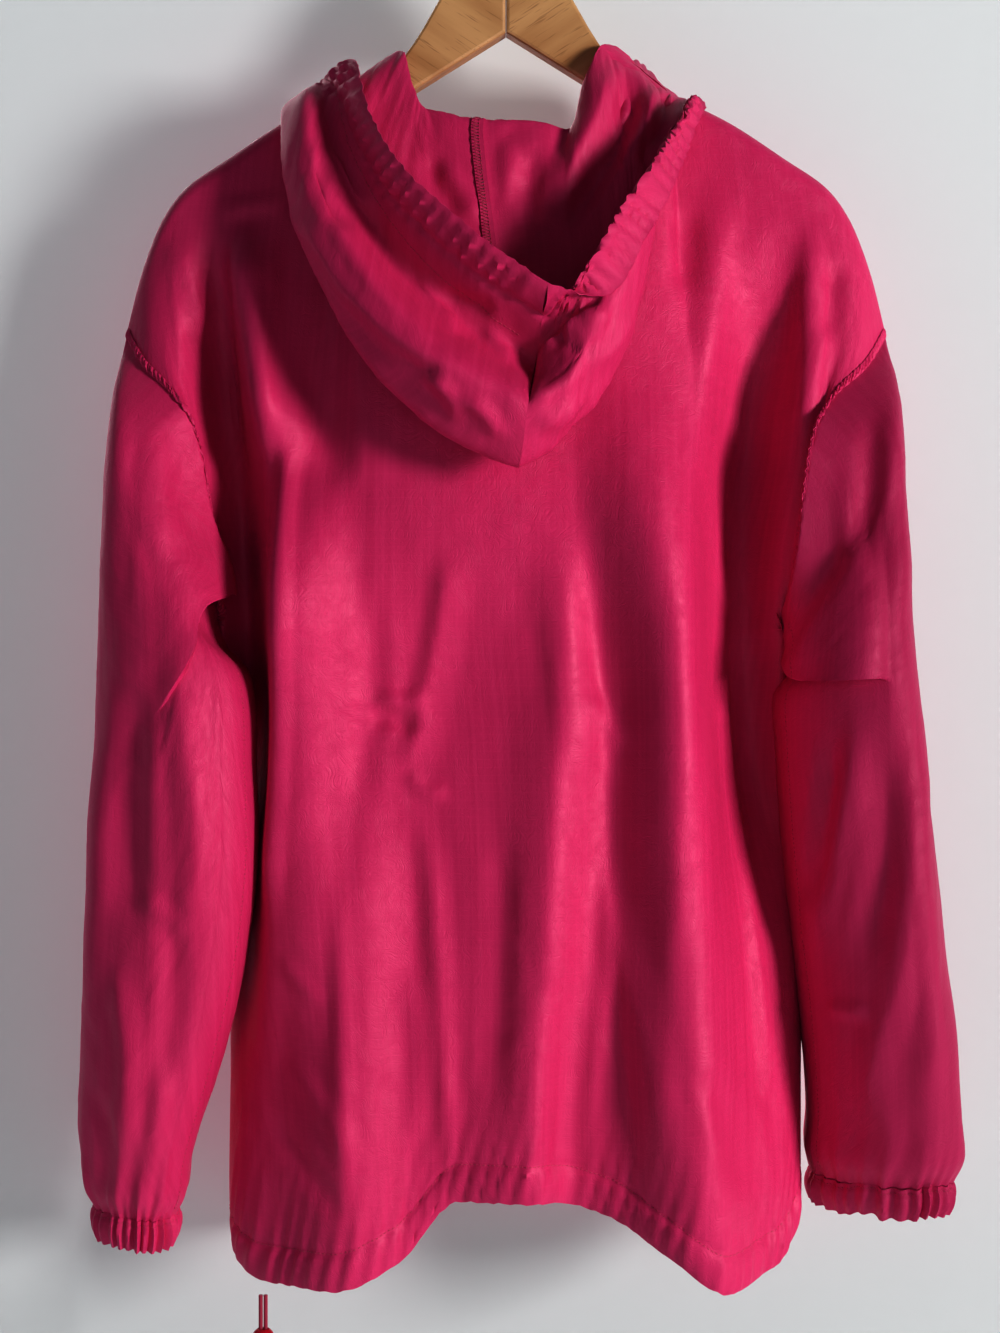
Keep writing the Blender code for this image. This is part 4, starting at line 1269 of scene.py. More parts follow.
@dataclass
class Panel:
    """A body panel, from its shoulders to the bottom of its hem casing."""

    name: str
    form: BodyForm
    side: Side
    creases: list
    flat: tuple[float, float]
    columns: int = 170
    arm_rows: int = 96
    low_rows: int = 116
    casing_rows: int = 10
    worn: Worn = field(default_factory=Worn)
    slit: float = 0.0
    slit_half: float = 0.0008
    pucker: float = 0.0007
    pucker_spacing: float = 0.0070
    band_width: float = 0.0066
    gather: float = 0.0014
    gather_spacing: float = 0.0120
    sheet: Sheet = None
    shares: Array = None

    def grid(self) -> Array:
        """Give the panel's plain form, a row for each height."""
        half = np.linspace(0, 1, self.columns // 2 + 1)
        shares = np.concatenate([-half[:0:-1], half])
        if self.slit:
            edge = self.slit_half / self.form.neck_half_width
            shares = np.concatenate([-half[:0:-1], [-edge, edge], half[1:]])
        self.shares = shares
        down = np.linspace(0, 1, self.arm_rows) ** 1.5
        upper = self.form.upper(shares[None], down[:, None], self.side)
        hem = self.form.hem_z(shares, self.side)[None]
        seam = hem + self.form.hem_casing
        low = np.linspace(0, 1, self.low_rows + 1)[1:, None]
        z = self.form.underarm_z + (seam - self.form.underarm_z) * low
        tunnel = np.linspace(0, 1, self.casing_rows + 1)[1:, None]
        z = np.vstack([z, seam + (hem - seam) * tunnel])
        share = np.broadcast_to(shares[None], z.shape)
        grid = np.vstack([upper, self.form.lower(share, z, self.side)])
        if self.slit:
            middle = len(shares) // 2 - 1
            grid[:, middle, 0] = -self.slit_half
            grid[:, middle + 1, 0] = self.slit_half
        return grid

    def surface(self) -> Sheet:
        """Lay the creases, crumples, puckers and hem gathers on the form."""
        points = self.grid()
        across = arc_along(points, 1)
        middle = points.shape[1] // 2
        down = arc_along(points, 0)
        flat = np.stack(
            [across - across[:, middle : middle + 1], down - down[self.arm_rows - 1]], axis=-1
        )
        out = outward_of(points, False, lambda p: np.array((0, self.side.value, 0)) + 0 * p)
        self.seam_normals(points, out)
        sheet = Sheet(points, out, flat, skip=self.open_cells(points))
        share = np.abs(self.shares)[None]
        from_edge = np.minimum(across, across[:, -1:] - across)
        held = ease(from_edge / 0.030) * ease(down / 0.030)
        calm = ease((down - 0.010) / 0.05)
        relief = held * laid(self.creases, points[..., 0], points[..., 2])
        relief += held * calm * self.worn.relief(flat)
        relief += self.puckers(points, from_edge)
        below = down - down[self.arm_rows + self.low_rows - 1]
        wave = ripple(flat[..., 0] + 0.25 * below, self.gather_spacing, self.worn.seed + 20)
        tight = np.where(below > 0, 1.0, np.exp(np.minimum(below, 0) / 0.020))
        tunnel = np.sin(np.clip(below / self.form.hem_casing, 0, 1) * math.pi) ** 0.7
        stitch = np.exp(-((below / 0.0022) ** 2))
        relief += held * (self.gather * wave * tight * (1 - 0.45 * stitch))
        relief += held * (0.0016 * tunnel - 0.0007 * stitch)
        relief -= 0.0005 * np.exp(-((from_edge / 0.0022) ** 2)) * (share > 0.5)
        sheet.raise_by(relief)
        rim = ease(below / self.form.hem_casing)
        sheet.points[..., 2] += held * rim * 0.0011 * wave
        sheet.renew()
        self.seam_normals(sheet.points, sheet.outward)
        self.sheet = sheet
        return sheet

    def seam_normals(self, points: Array, out: Array) -> None:
        """Make the outward directions agree with the other panel's along the shared seams."""
        along = np.gradient(points[0], axis=0)
        up = unit(np.stack([-along[:, 2], 0 * along[:, 2], along[:, 0]], axis=-1))
        on_shoulder = np.abs(self.shares) > self.form.neck_share
        out[0][on_shoulder] = up[on_shoulder]
        out[self.arm_rows - 1 :, 0] = (-1, 0, 0)
        out[self.arm_rows - 1 :, -1] = (1, 0, 0)

    def open_cells(self, points: Array) -> frozenset:
        """List the cells that the neck slit leaves open."""
        if not self.slit:
            return frozenset()
        middle = len(self.shares) // 2 - 1
        depth = points[0, middle, 2] - points[:, middle, 2]
        last = int(np.argmin(np.abs(depth - self.slit)))
        return frozenset((row, middle) for row in range(last))

    def puckers(self, points: Array, from_edge: Array) -> Array:
        """Give the small gathers that the armhole stitching leaves along both armholes."""
        total = np.zeros(points.shape[:2])
        along = arc_along(points, 0)
        for edge, seed in ((0, 51), (-1, 61)):
            here = self.shares[None] * (-1 if edge == 0 else 1) > 0.5
            wave = ripple(along[:, edge : edge + 1 or None], self.pucker_spacing, seed)
            near = np.exp(-((from_edge / 0.0085) ** 2)) * here
            rows = (np.arange(len(points)) < self.arm_rows)[:, None]
            start = ease(along[:, edge : edge + 1 or None] / 0.02)
            total += self.pucker * wave * near * rows * start
            total += 0.0011 * np.exp(-(((from_edge - 0.0030) / 0.0026) ** 2)) * here * rows * start
        return total

    def build(self, finishes: Finishes) -> None:
        """Make the panel and its rows of stitches."""
        sheet = self.surface()
        piece = shell(self.name + "_cloth", sheet, CLOTH_THICK, finishes.nylon)
        stitches = self.stitches(finishes.thread, finishes.nylon)
        fasten([piece, *stitches], self.name)
        LOG.info("%s: %d faces", piece.name, len(piece.data.polygons))

    def beside(self, edge: int, reach: float) -> tuple[Array, Array]:
        """Find the points at one distance in from an armhole.

        Args:
            edge: The column of the armhole, 0 or -1.
            reach: The distance in from it along each row.

        Returns:
            The points on the cloth's surface and its outward directions there.
        """
        rows = slice(3, self.arm_rows - 1)
        points = (self.sheet.points + self.sheet.outward * CLOTH_THICK / 2)[rows]
        out = self.sheet.outward[rows]
        if edge:
            points, out = points[:, ::-1], out[:, ::-1]
        away = arc_along(points[:, :40], 1)
        both = np.concatenate([points[:, :40], out[:, :40]], axis=-1)
        found = np.array(
            [[np.interp(reach, away[r], both[r, :, k]) for k in range(6)] for r in range(len(both))]
        )
        return found[:, :3], unit(found[:, 3:])

    def seam_band(self, name: str, edge: int, cloth: bpy.types.Material) -> bpy.types.Object:
        """Lay the doubled cloth of the felled armhole seam, with its small puckers.

        Args:
            name: The piece's name.
            edge: The column of the armhole, 0 or -1.
            cloth: The finish.

        Returns:
            The band.
        """
        lines = [self.beside(edge, self.band_width * k) for k in np.linspace(0, 1, 7)]
        points = np.stack([line for line, _ in lines], axis=1)
        out = np.stack([facing for _, facing in lines], axis=1)
        reach = arc_along(points[:, 3:4], 0)[:, 0]
        at = np.arange(0, reach[-1], 0.0006)
        points, out = (
            np.stack([[np.interp(at, reach, each[:, c, k]) for k in range(3)] for c in range(7)])
            .transpose(2, 0, 1)
            for each in (points, out)
        )
        out = unit(out)
        share = np.linspace(0, 1, 7)[None]
        slant = at[:, None] + 0.0016 * share
        wave = ripple(slant, 0.0034, 90 + self.worn.seed + 5 * edge)
        arch = np.sin(np.clip(share * 1.02, 0, 1) * math.pi) ** 0.5
        height = 0.00055 + 0.00060 * arch + 0.00085 * wave * (0.30 + 0.70 * arch)
        flat = np.stack([np.broadcast_to(share * self.band_width, slant.shape), slant], axis=-1)
        band = Sheet(points + out * height[..., None], out, flat)
        band.renew()
        return shell(name, band, 0.0005, cloth)

    def stitches(self, thread: bpy.types.Material, cloth: bpy.types.Material) -> list:
        """Sew the hem casing's row, the armholes' felled seams and the slit's edge."""
        sheet = self.sheet
        surface = sheet.points + sheet.outward * CLOTH_THICK / 2
        row = self.arm_rows + self.low_rows - 1
        sewn = Stitching()
        made = [sewn.sew(self.name + "_hem_stitches", surface[row], sheet.outward[row], thread)]
        for edge, label in ((0, "left"), (-1, "right")):
            name = f"{self.name}_armhole_{label}"
            made.append(self.seam_band(name + "_band", edge, cloth))
            path, out = self.beside(edge, self.band_width * 0.82)
            path += out * 0.0006
            made.append(Stitching(pitch=0.0026).sew(name + "_stitches", path, out, thread))
        if self.slit:
            middle = len(self.shares) // 2 - 1
            last = len(self.open_cells(sheet.points))
            beside = int(round(0.005 / (self.form.neck_half_width * 2 / self.columns)))
            rows = np.arange(1, last + 3)
            left = surface[rows, middle - beside]
            right = surface[rows, middle + 1 + beside]
            over = surface[last + 2, middle - beside : middle + 2 + beside]
            path = np.vstack([left, over[1:-1], right[::-1]])
            facing = np.zeros_like(path) + (0, self.side.value, 0)
            made.append(sewn.sew(self.name + "_slit_stitches", path, facing, thread))
        return made


@dataclass
class HemCasing:
    """The part of a panel that is turned up inside it for the cord."""

    name: str
    panel: Panel
    flat: tuple[float, float]
    step: float = 0.0011

    def build(self, finishes: Finishes) -> None:
        """Make the inner layer, which meets the panel along the hem's edge."""
        sheet = self.panel.sheet
        rows = self.panel.casing_rows + 3
        depth = np.linspace(1, 0, rows)[:, None]
        drop = np.sqrt(depth) * self.step
        points = sheet.points[-rows:] - sheet.outward[-rows:] * drop[..., None]
        inner = Sheet(points, sheet.outward[-rows:].copy(), sheet.flat[-rows:])
        piece = shell(self.name + "_cloth", inner, 0.0004, finishes.inside)
        fasten([piece], self.name)


@dataclass
class Sleeve:
    """A sleeve, from the armhole seam to the top of its cuff."""

    hand: Hand
    body: BodyForm
    form: SleeveForm
    flat: tuple[float, float]
    back_creases: list
    front_creases: list
    columns: int = 132
    rows: int = 236
    worn: Worn = field(default_factory=Worn)
    pleats: int = 27
    gather: float = 0.0022
    cuff_height: float = 0.020
    sheet: Sheet = None

    @property
    def side_name(self) -> str:
        """The hand in lower case."""
        return self.hand.name.lower()

    def turns(self) -> Array:
        """Give each column's turn: 0 at the outside, a quarter at the back."""
        return np.linspace(0, 2 * math.pi, self.columns, endpoint=False)

    def armhole(self) -> tuple[Array, Array]:
        """Give the body's edge at each turn, and the direction out of the body there."""
        turn = self.turns()
        down = (1 - np.cos(turn)) / 2
        edge, inside = np.zeros((self.columns, 3)), np.zeros((self.columns, 3))
        for side, mine in ((Side.BACK, np.sin(turn) >= 0), (Side.FRONT, np.sin(turn) < 0)):
            share = np.full(mine.sum(), float(self.hand.value))
            edge[mine] = self.body.upper(share, down[mine], side)
            inside[mine] = self.body.upper(share * 0.965, down[mine], side)
        inside[0, 1] = inside[self.columns // 2, 1] = 0
        return edge, unit(edge - inside)

    def grid(self) -> Array:
        """Give the sleeve's plain form, its first two rows tucked under the panels."""
        turn = self.turns()
        edge, away = self.armhole()
        middle = edge.mean(axis=0)
        inward = unit(middle - edge)
        rings = [edge + away * 0.0002 + inward * 0.0006]
        bulge = np.sign(np.sin(turn)) * np.abs(np.sin(turn)) ** self.form.squareness
        for place, row in enumerate(zip(*self.form.rings.values())):
            ox, oz, ix, iz, y, to_back, to_front = row
            tilt = self.form.tilt * ease(place / 3)
            outer, inner = np.array((ox, y - tilt, oz)), np.array((ix, y + tilt, iz))
            ring = (outer + inner) / 2 + (outer - inner) / 2 * np.cos(turn)[:, None]
            ring[:, 1] -= bulge * np.where(bulge > 0, to_back, to_front)
            rings.append(ring)
        rings = np.array(rings)
        step = np.linalg.norm(np.diff(rings, axis=0), axis=-1).mean(axis=1)
        knots = np.concatenate([[0], np.cumsum(step)])
        at = np.linspace(0, knots[-1], self.rows - 2)
        body = flowing(knots, rings.reshape(len(rings), -1), at).reshape(len(at), -1, 3)
        tuck = [edge - away * 0.008 + inward * 0.0016, edge - away * 0.003 + inward * 0.0011]
        grid = self.form.rows_along_lip(np.concatenate([np.array(tuck), body]), turn)
        return grid + self.form.fold(grid, turn[None])

    def pleat_at(self, turn: Array) -> Array:
        """Give the pleats' height at any turn."""
        sway = drift(2.6 * np.cos(turn) + 9, 2.6 * np.sin(turn) + 9, self.worn.seed + 30)
        force = 0.7 + 0.3 * drift(3.4 * np.cos(turn), 3.4 * np.sin(turn), self.worn.seed + 31)
        wave = np.cos(self.pleats * turn + 3.2 * sway)
        return force * (wave - 0.3 * (1 - wave**2))

    def coarse_pleat(self, turn: Array, seed: int, count: int) -> Array:
        """Give wider gathers that run further up the sleeve."""
        sway = drift(1.8 * np.cos(turn) + 5, 1.8 * np.sin(turn) + 5, seed)
        return np.cos(count * turn + 3.0 * sway) * (
            0.6 + 0.4 * drift(2.2 * np.cos(turn), 2.2 * np.sin(turn) + 3, seed + 1)
        )

    def surface(self) -> Sheet:
        """Lay creases, crumples, armhole puckers and cuff gathers on the form."""
        points = self.grid()
        turn = np.broadcast_to(self.turns()[None], points.shape[:2])
        across = arc_along(points, 1)
        down = arc_along(points, 0)
        flat = np.stack([across, down - down[50]], axis=-1)
        middle = points.mean(axis=1, keepdims=True)
        out = outward_of(points, True, lambda p: p - middle)
        sheet = Sheet(points, out, flat, ring=True)
        x, z = points[..., 0], points[..., 2]
        free = ease((down - 0.012) / 0.035)
        at_back = ease((np.sin(turn) + 0.15) / 0.3)
        relief = free * at_back * laid(self.back_creases, x, z)
        relief += free * (1 - at_back) * laid(self.front_creases, x, z)
        relief += free * self.worn.relief(flat)
        seam = arc_along(points[2:3], 1)
        wave = ripple(seam, 0.0066, self.worn.seed + 45)
        relief += 0.0005 * wave * np.exp(-((down - 0.008) / 0.008)) * ease((down - 0.004) / 0.006)
        from_cuff = down[-1:] - down
        tight = np.exp(-from_cuff / 0.013)
        longer = np.exp(-((from_cuff / 0.046) ** 1.3))
        low = self.coarse_pleat(turn, self.worn.seed + 33, 11)
        relief += self.gather * 0.8 * self.pleat_at(turn) * tight
        relief += self.gather * 1.15 * low * longer * (0.35 + 0.65 * ease(from_cuff / 0.02))
        relief += 0.0040 * np.exp(-(((from_cuff - 0.016) / 0.016) ** 2))
        sheet.raise_by(relief)
        sheet.renew()
        self.sheet = sheet
        return sheet

    def build(self, finishes: Finishes) -> None:
        """Make the sleeve, its underarm topstitching and its cuff."""
        sheet = self.surface()
        name = f"sleeve_{self.side_name}"
        piece = shell(name + "_cloth", sheet, CLOTH_THICK, finishes.nylon)
        surface = sheet.points + sheet.outward * CLOTH_THICK / 2
        column = int(self.columns * 0.437)
        thread = finishes.thread
        rows = slice(30, self.rows - 2)
        seam = Stitching(pitch=0.0028).sew(
            name + "_underarm_stitches", surface[rows, column], sheet.outward[rows, column], thread
        )
        fasten([piece, seam], name)
        LOG.info("%s: %d faces", piece.name, len(piece.data.polygons))
        self.build_cuff(finishes)

    def build_cuff(self, finishes: Finishes) -> None:
        """Make the elastic cuff, a short tube gathered into small pleats."""
        points = self.sheet.points
        low, above = points[-1], points[-15]
        middle = low.mean(axis=0)
        down = unit(middle - above.mean(axis=0))
        count = self.pleats * 6
        turn = np.linspace(0, 2 * math.pi, count, endpoint=False)
        closed = np.vstack([low, low[:1]])
        at = turn / (2 * math.pi) * self.columns
        ring = np.stack(
            [np.interp(at, range(len(closed)), closed[:, k]) for k in range(3)], axis=-1
        )
        out = unit(ring - middle - np.sum((ring - middle) * down, axis=-1, keepdims=True) * down)
        pleat = self.pleat_at(turn)
        wander = drift(3 * np.cos(turn) + 2, 3 * np.sin(turn) + 2, self.worn.seed + 35)
        rows = []
        for share in np.linspace(0, 1, 15):
            bulge = 0.0024 * math.sin(math.pi * min(1, share * 1.05)) ** 0.8 - 0.0012 * share
            slip = turn + 0.06 * (share - 0.5) * wander
            depth = 0.00125 * (0.55 + 0.45 * math.sin(math.pi * share))
            line = -0.0006 * math.exp(-(((share - 0.12) / 0.05) ** 2))
            move = bulge + line + depth * self.pleat_at(slip)
            drop = self.cuff_height * share + 0.0016 * wander + 0.0003 * pleat * share
            rows.append(ring + down * drop[:, None] + out * move[:, None])
        grid = np.array(rows)
        flat = np.stack([arc_along(grid, 1) * 1.6, arc_along(grid, 0)], axis=-1)
        centre = grid.mean(axis=1, keepdims=True)
        sheet = Sheet(grid, outward_of(grid, True, lambda p: p - centre), flat, ring=True)
        name = f"cuff_{self.side_name}"
        piece = shell(name + "_cloth", sheet, 0.0011, finishes.nylon)
        row = 2
        line = np.vstack([grid[row], grid[row, :1]])
        facing = np.vstack([sheet.outward[row], sheet.outward[row, :1]])
        seam = Stitching(pitch=0.0024).sew(
            name + "_stitches", line + facing * 0.00055, facing, finishes.thread
        )
        fasten([piece, seam], name)
        f"sleeve_{self.side_name}"  # fmt: skip


@dataclass
class Overlock:
    """An overlocked raw edge: a row of thread and the loops that run from it to the edge."""

    width: float = 0.0060
    pitch: float = 0.0021
    radius: float = 0.00026
    lift: float = 0.0009

    def sew(
        self, name: str, points: Array, outward: Array, finishes: Finishes
    ) -> list[bpy.types.Object]:
        """Lay a seam allowance and its thread on a cloth.

        Args:
            name: The piece's name.
            points: A grid on the cloth, a row for each place along the seam and the seam first.
            outward: The cloth's directions there, towards the side that the allowance lies on.
            finishes: The materials.

        Returns:
            The strip of cloth and the threads on it.
        """
        away = arc_along(points, 1)
        both = np.concatenate([points, outward], axis=-1)
        shares = (0, 0.35, 0.7, 1)
        grid = np.array(
            [
                [[np.interp(k * self.width, away[r], both[r, :, c]) for c in range(6)] for k in shares]
                for r in range(len(both))
            ]
        )
        reach = arc_along(grid[:, 1:2, :3], 0)[:, 0]
        at = np.arange(0, reach[-1], self.pitch / 2)
        flat_rows = grid.reshape(len(grid), -1)
        fine = np.stack([np.interp(at, reach, column) for column in flat_rows.T], axis=-1)
        fine = fine.reshape(len(at), 4, 6)
        facing = unit(fine[..., 3:])
        sway = 0.00025 * np.sin(np.arange(len(at)) * 0.9)[:, None] * np.array(shares)
        lift = self.lift * np.array((0.6, 1.0, 1.15, 1.0)) + sway
        spots = fine[..., :3] + facing * lift[..., None]
        flat = np.stack([arc_along(spots, 1), arc_along(spots, 0)], axis=-1)
        strip = shell(name + "_strip", Sheet(spots, facing, flat), 0.0005, finishes.inside)
        loops = []
        raised = spots + facing * 0.00040
        for start in range(0, len(at) - 2, 2):
            a, b, c = raised[start, 3], raised[start + 1, 1], raised[start + 2, 3]
            bend = facing[start, 1] * 0.00015
            loops.append(np.array([a, (a + b) / 2 + bend, b, (b + c) / 2 + bend, c]))
        cords, faces = tubes(loops, self.radius, 4)
        thread = mesh_object(name + "_loops", cords, faces, finishes.thread)
        seam = Stitching(pitch=0.0022).sew(
            name + "_row", raised[:, 1], facing[:, 1], finishes.thread
        )
        return [strip, thread, seam]


@dataclass
class Hood:
    """One half of the lying hood, with its casing and its seams."""

    hand: Hand
    body: BodyForm
    form: HoodForm
    creases: list
    inner_creases: list
    flat: tuple[float, float]
    columns: int = 116
    rows: int = 150
    worn: Worn = field(default_factory=Worn)
    pucker: float = 0.0020
    pucker_spacing: float = 0.0095
    sheet: Sheet = None
    casing_rows: int = 0
    places: Array = None

    @property
    def side_name(self) -> str:
        """The hand in lower case."""
        return self.hand.name.lower()

    def surface(self) -> Sheet:
        """Lay the creases, crumples and casing puckers on the form."""
        points, places = self.form.surface(self.body, self.hand, self.columns, self.rows)
        down = arc_along(points, 0)
        across = arc_along(points, 1)
        middle = -1 if self.hand is Hand.LEFT else 0
        flat = np.stack([across - across[:, middle : middle + 1 or None], down], axis=-1)
        out = outward_of(points, False, lambda p: self.facing(p, places))
        sheet = Sheet(points, out, flat)
        from_rim = down[-1:] - down
        depth = np.minimum(self.form.casing, self.form.casing_share * down[-1:])
        from_seam = np.abs(flat[..., 0])
        held = ease(from_seam / 0.012) * ease(down / 0.02)
        x, z = points[..., 0], points[..., 2]
        outer = ease((places - 0.52) / 0.10)
        inner = 1 - outer
        relief = held * outer * laid(self.creases, x, z)
        relief += held * inner * laid(self.inner_creases, x, z)
        relief += held * self.worn.relief(flat)
        arc = arc_along(points[-1:], 1)
        wave = ripple(arc + 0.35 * from_rim, self.pucker_spacing, self.worn.seed + 20)
        on_band = ease((1.45 - from_rim / depth) / 0.5)
        stitch = np.exp(-(((from_rim - depth) / 0.0018) ** 2))
        band = np.sin(np.clip(from_rim / depth, 0, 1) * math.pi) ** 0.6
        waist = 1 - 0.5 * stitch - 0.5 * np.exp(-((from_rim / 0.004) ** 2))
        relief += outer * self.pucker * wave * on_band * waist * (0.4 + 0.6 * held)
        relief += outer * (0.0024 * band - 0.0014 * stitch)
        relief -= 0.0006 * np.exp(-((from_seam / 0.0016) ** 2))
        sheet.raise_by(relief)
        sheet.renew()
        edge = sheet.outward[:, middle]
        sheet.outward[:, middle] = unit(edge * (0, 1, 1))
        self.sheet, self.places = sheet, places
        self.casing_rows = int(np.argmin(np.abs(np.median(from_rim - depth, axis=1))))
        return sheet

    def facing(self, points: Array, places: Array) -> Array:
        """Give the rough direction out of the outer layer, and the other way on the inner one."""
        sign = np.where(places > 0.6, -1.0, 1.0)
        return np.stack([0 * sign, sign, 0 * sign], axis=-1)

    def build(self, finishes: Finishes) -> None:
        """Make the half hood, its casing and its seams."""
        sheet = self.surface()
        name = f"hood_{self.side_name}"
        piece = shell(name + "_cloth", sheet, CLOTH_THICK, finishes.nylon)
        row = self.casing_rows
        surface = sheet.points + sheet.outward * CLOTH_THICK / 2
        columns = slice(3, self.columns - 3)
        stitches = [
            Stitching().sew(
                name + "_casing_stitches",
                surface[row, columns],
                sheet.outward[row, columns],
                finishes.thread,
            )
        ]
        fasten([piece, *stitches], name)
        self.build_casing(finishes)
        LOG.info("%s: %d faces", piece.name, len(piece.data.polygons))

    def build_casing(self, finishes: Finishes) -> None:
        """Make the turned-in band of the face opening, inside the outer layer."""
        sheet = self.sheet
        start = self.casing_rows - 2
        depth = np.linspace(1, 0, self.rows - start)[:, None]
        points = sheet.points[start:] - sheet.outward[start:] * (np.sqrt(depth) * 0.0012)[..., None]
        band = Sheet(points, sheet.outward[start:].copy(), sheet.flat[start:])
        name = f"hood_casing_{self.side_name}"
        piece = shell(name + "_cloth", band, 0.0004, finishes.inside)
        grid = (band.points - band.outward * 0.0004).transpose(1, 0, 2)
        trim = Overlock(width=0.0052).sew(
            name + "_overlock", grid, -band.outward.transpose(1, 0, 2), finishes
        )
        fasten([piece, *trim], name)
        length = float(arc_along(points[:1], 1)[0, -1])
        LOG.info("%s: %.3f m round", piece.name, length)
        f"hood_{self.side_name}"  # fmt: skip


@dataclass
class HemCord:
    """A loop of round elastic that hangs out of the hem casing, with a bead on it."""

    exit: tuple[float, float, float] = (-0.1480, -0.0480, -0.9070)
    thick: float = 0.0025
    pair: float = 0.0030
    loop: float = 0.0056
    flare: float = 0.013
    bead_top: float = 0.0195
    bead_radius: float = 0.0070
    slot: tuple[float, float] = (0.0062, 0.0033)

    def route(self) -> Array:
        """Give the points down one strand, round the loop and up the other."""
        half = self.pair / 2
        flare_top = self.bead_top + 2 * self.bead_radius + 0.001
        down = [(half, drop) for drop in np.linspace(0, flare_top, 12)]
        for share in np.linspace(0.1, 1, 10):
            down.append((half + (self.loop - half) * float(ease(share)), flare_top + self.flare * share))
        low = down[-1][1]
        round_it = [
            (self.loop * math.cos(turn), low + self.loop * math.sin(turn))
            for turn in np.linspace(0, math.pi, 17)[1:-1]
        ]
        up = [(-x, drop) for x, drop in reversed(down)]
        x0, y0, z0 = self.exit
        return np.array([(x0 + x, y0, z0 - drop) for x, drop in down + round_it + up])

    def build(self, finishes: Finishes) -> None:
        """Make the cord as a curve, and the bead on it."""
        bead = self.bead(finishes)
        route = self.route()
        curve = bpy.data.curves.new("hem_elastic", "CURVE")
        curve.dimensions = "3D"
        curve.bevel_depth = self.thick / 2
        curve.bevel_resolution = 4
        curve.use_fill_caps = True
        spline = curve.splines.new("POLY")
        spline.points.add(len(route) - 1)
        for point, place in zip(spline.points, route):
            point.co = (*place, 1)
        curve.materials.append(finishes.elastic)
        cord = bpy.data.objects.new("hem_elastic", curve)
        bpy.context.scene.collection.objects.link(cord)
        fasten([cord], "hem_cord")

    def bead(self, finishes: Finishes) -> bpy.types.Object:
        """Make a round bead with a slot through it for both strands."""
        around, along = 64, 40
        turn = np.linspace(0, 2 * math.pi, around, endpoint=False)
        hole = math.radians(31)
        tilt = np.linspace(hole, math.pi - hole, along)
        x0, y0, z0 = self.exit
        z0 -= self.bead_top + self.bead_radius
        rows = []
        for angle in tilt:
            out = math.sin(angle) * self.bead_radius
            ring = np.stack([np.cos(turn) * out, np.sin(turn) * out], axis=-1)
            rows.append(np.column_stack([ring, np.full(around, math.cos(angle) * self.bead_radius)]))
        slot_x, slot_y = self.slot[0] / 2, self.slot[1] / 2
        long = slot_x - slot_y
        straight = np.clip(np.cos(turn) * 2, -1, 1) * long
        slot = np.stack([straight + np.cos(turn) * slot_y, np.sin(turn) * slot_y], axis=-1)
        ends = math.cos(hole) * self.bead_radius
        for height in (ends + 0.00005, ends - 0.0006, 0.0, -ends + 0.0006, -ends - 0.00005):
            size = 1.10 if abs(height) > ends else 1.0
            rows.append(np.column_stack([slot * size, np.full(around, height)]))
        top = rows[along : along + 5]
        points = np.vstack([*rows[:along], *top[::-1]]) + (x0, y0, z0)
        count = along + 5
        faces = []
        for r in range(count):
            s = (r + 1) % count
            for c in range(around):
                d = (c + 1) % around
                faces.append((r * around + c, s * around + c, s * around + d, r * around + d))
        bead = mesh_object("hem_bead", points, faces, finishes.bead)
        clean = bmesh.new()
        clean.from_mesh(bead.data)
        bmesh.ops.recalc_face_normals(clean, faces=clean.faces[:])
        clean.to_mesh(bead.data)
        clean.free()
        bead.data.set_sharp_from_angle(angle=math.radians(50))
        fasten([bead], "cord_stopper")
        return bead


@dataclass
class Hanger:
    """The wooden arms and the steel hook, whose CAD shapes stay."""

    nodes: dict

    def dress(self, finishes: Finishes) -> None:
        """Give the arms and the hook their finishes."""
        for hand in Hand:
            self.put(f"hanger_arm_{hand.name.lower()}", finishes.wood[hand])
        self.put("hanger_hook", finishes.steel)

    def put(self, name: str, material: bpy.types.Material) -> None:
        """Give one CAD node a material."""
        node = self.nodes[name]
        node.data.materials.clear()
        node.data.materials.append(material)
        node.data.shade_smooth()
        node.data.set_sharp_from_angle(angle=math.radians(40))


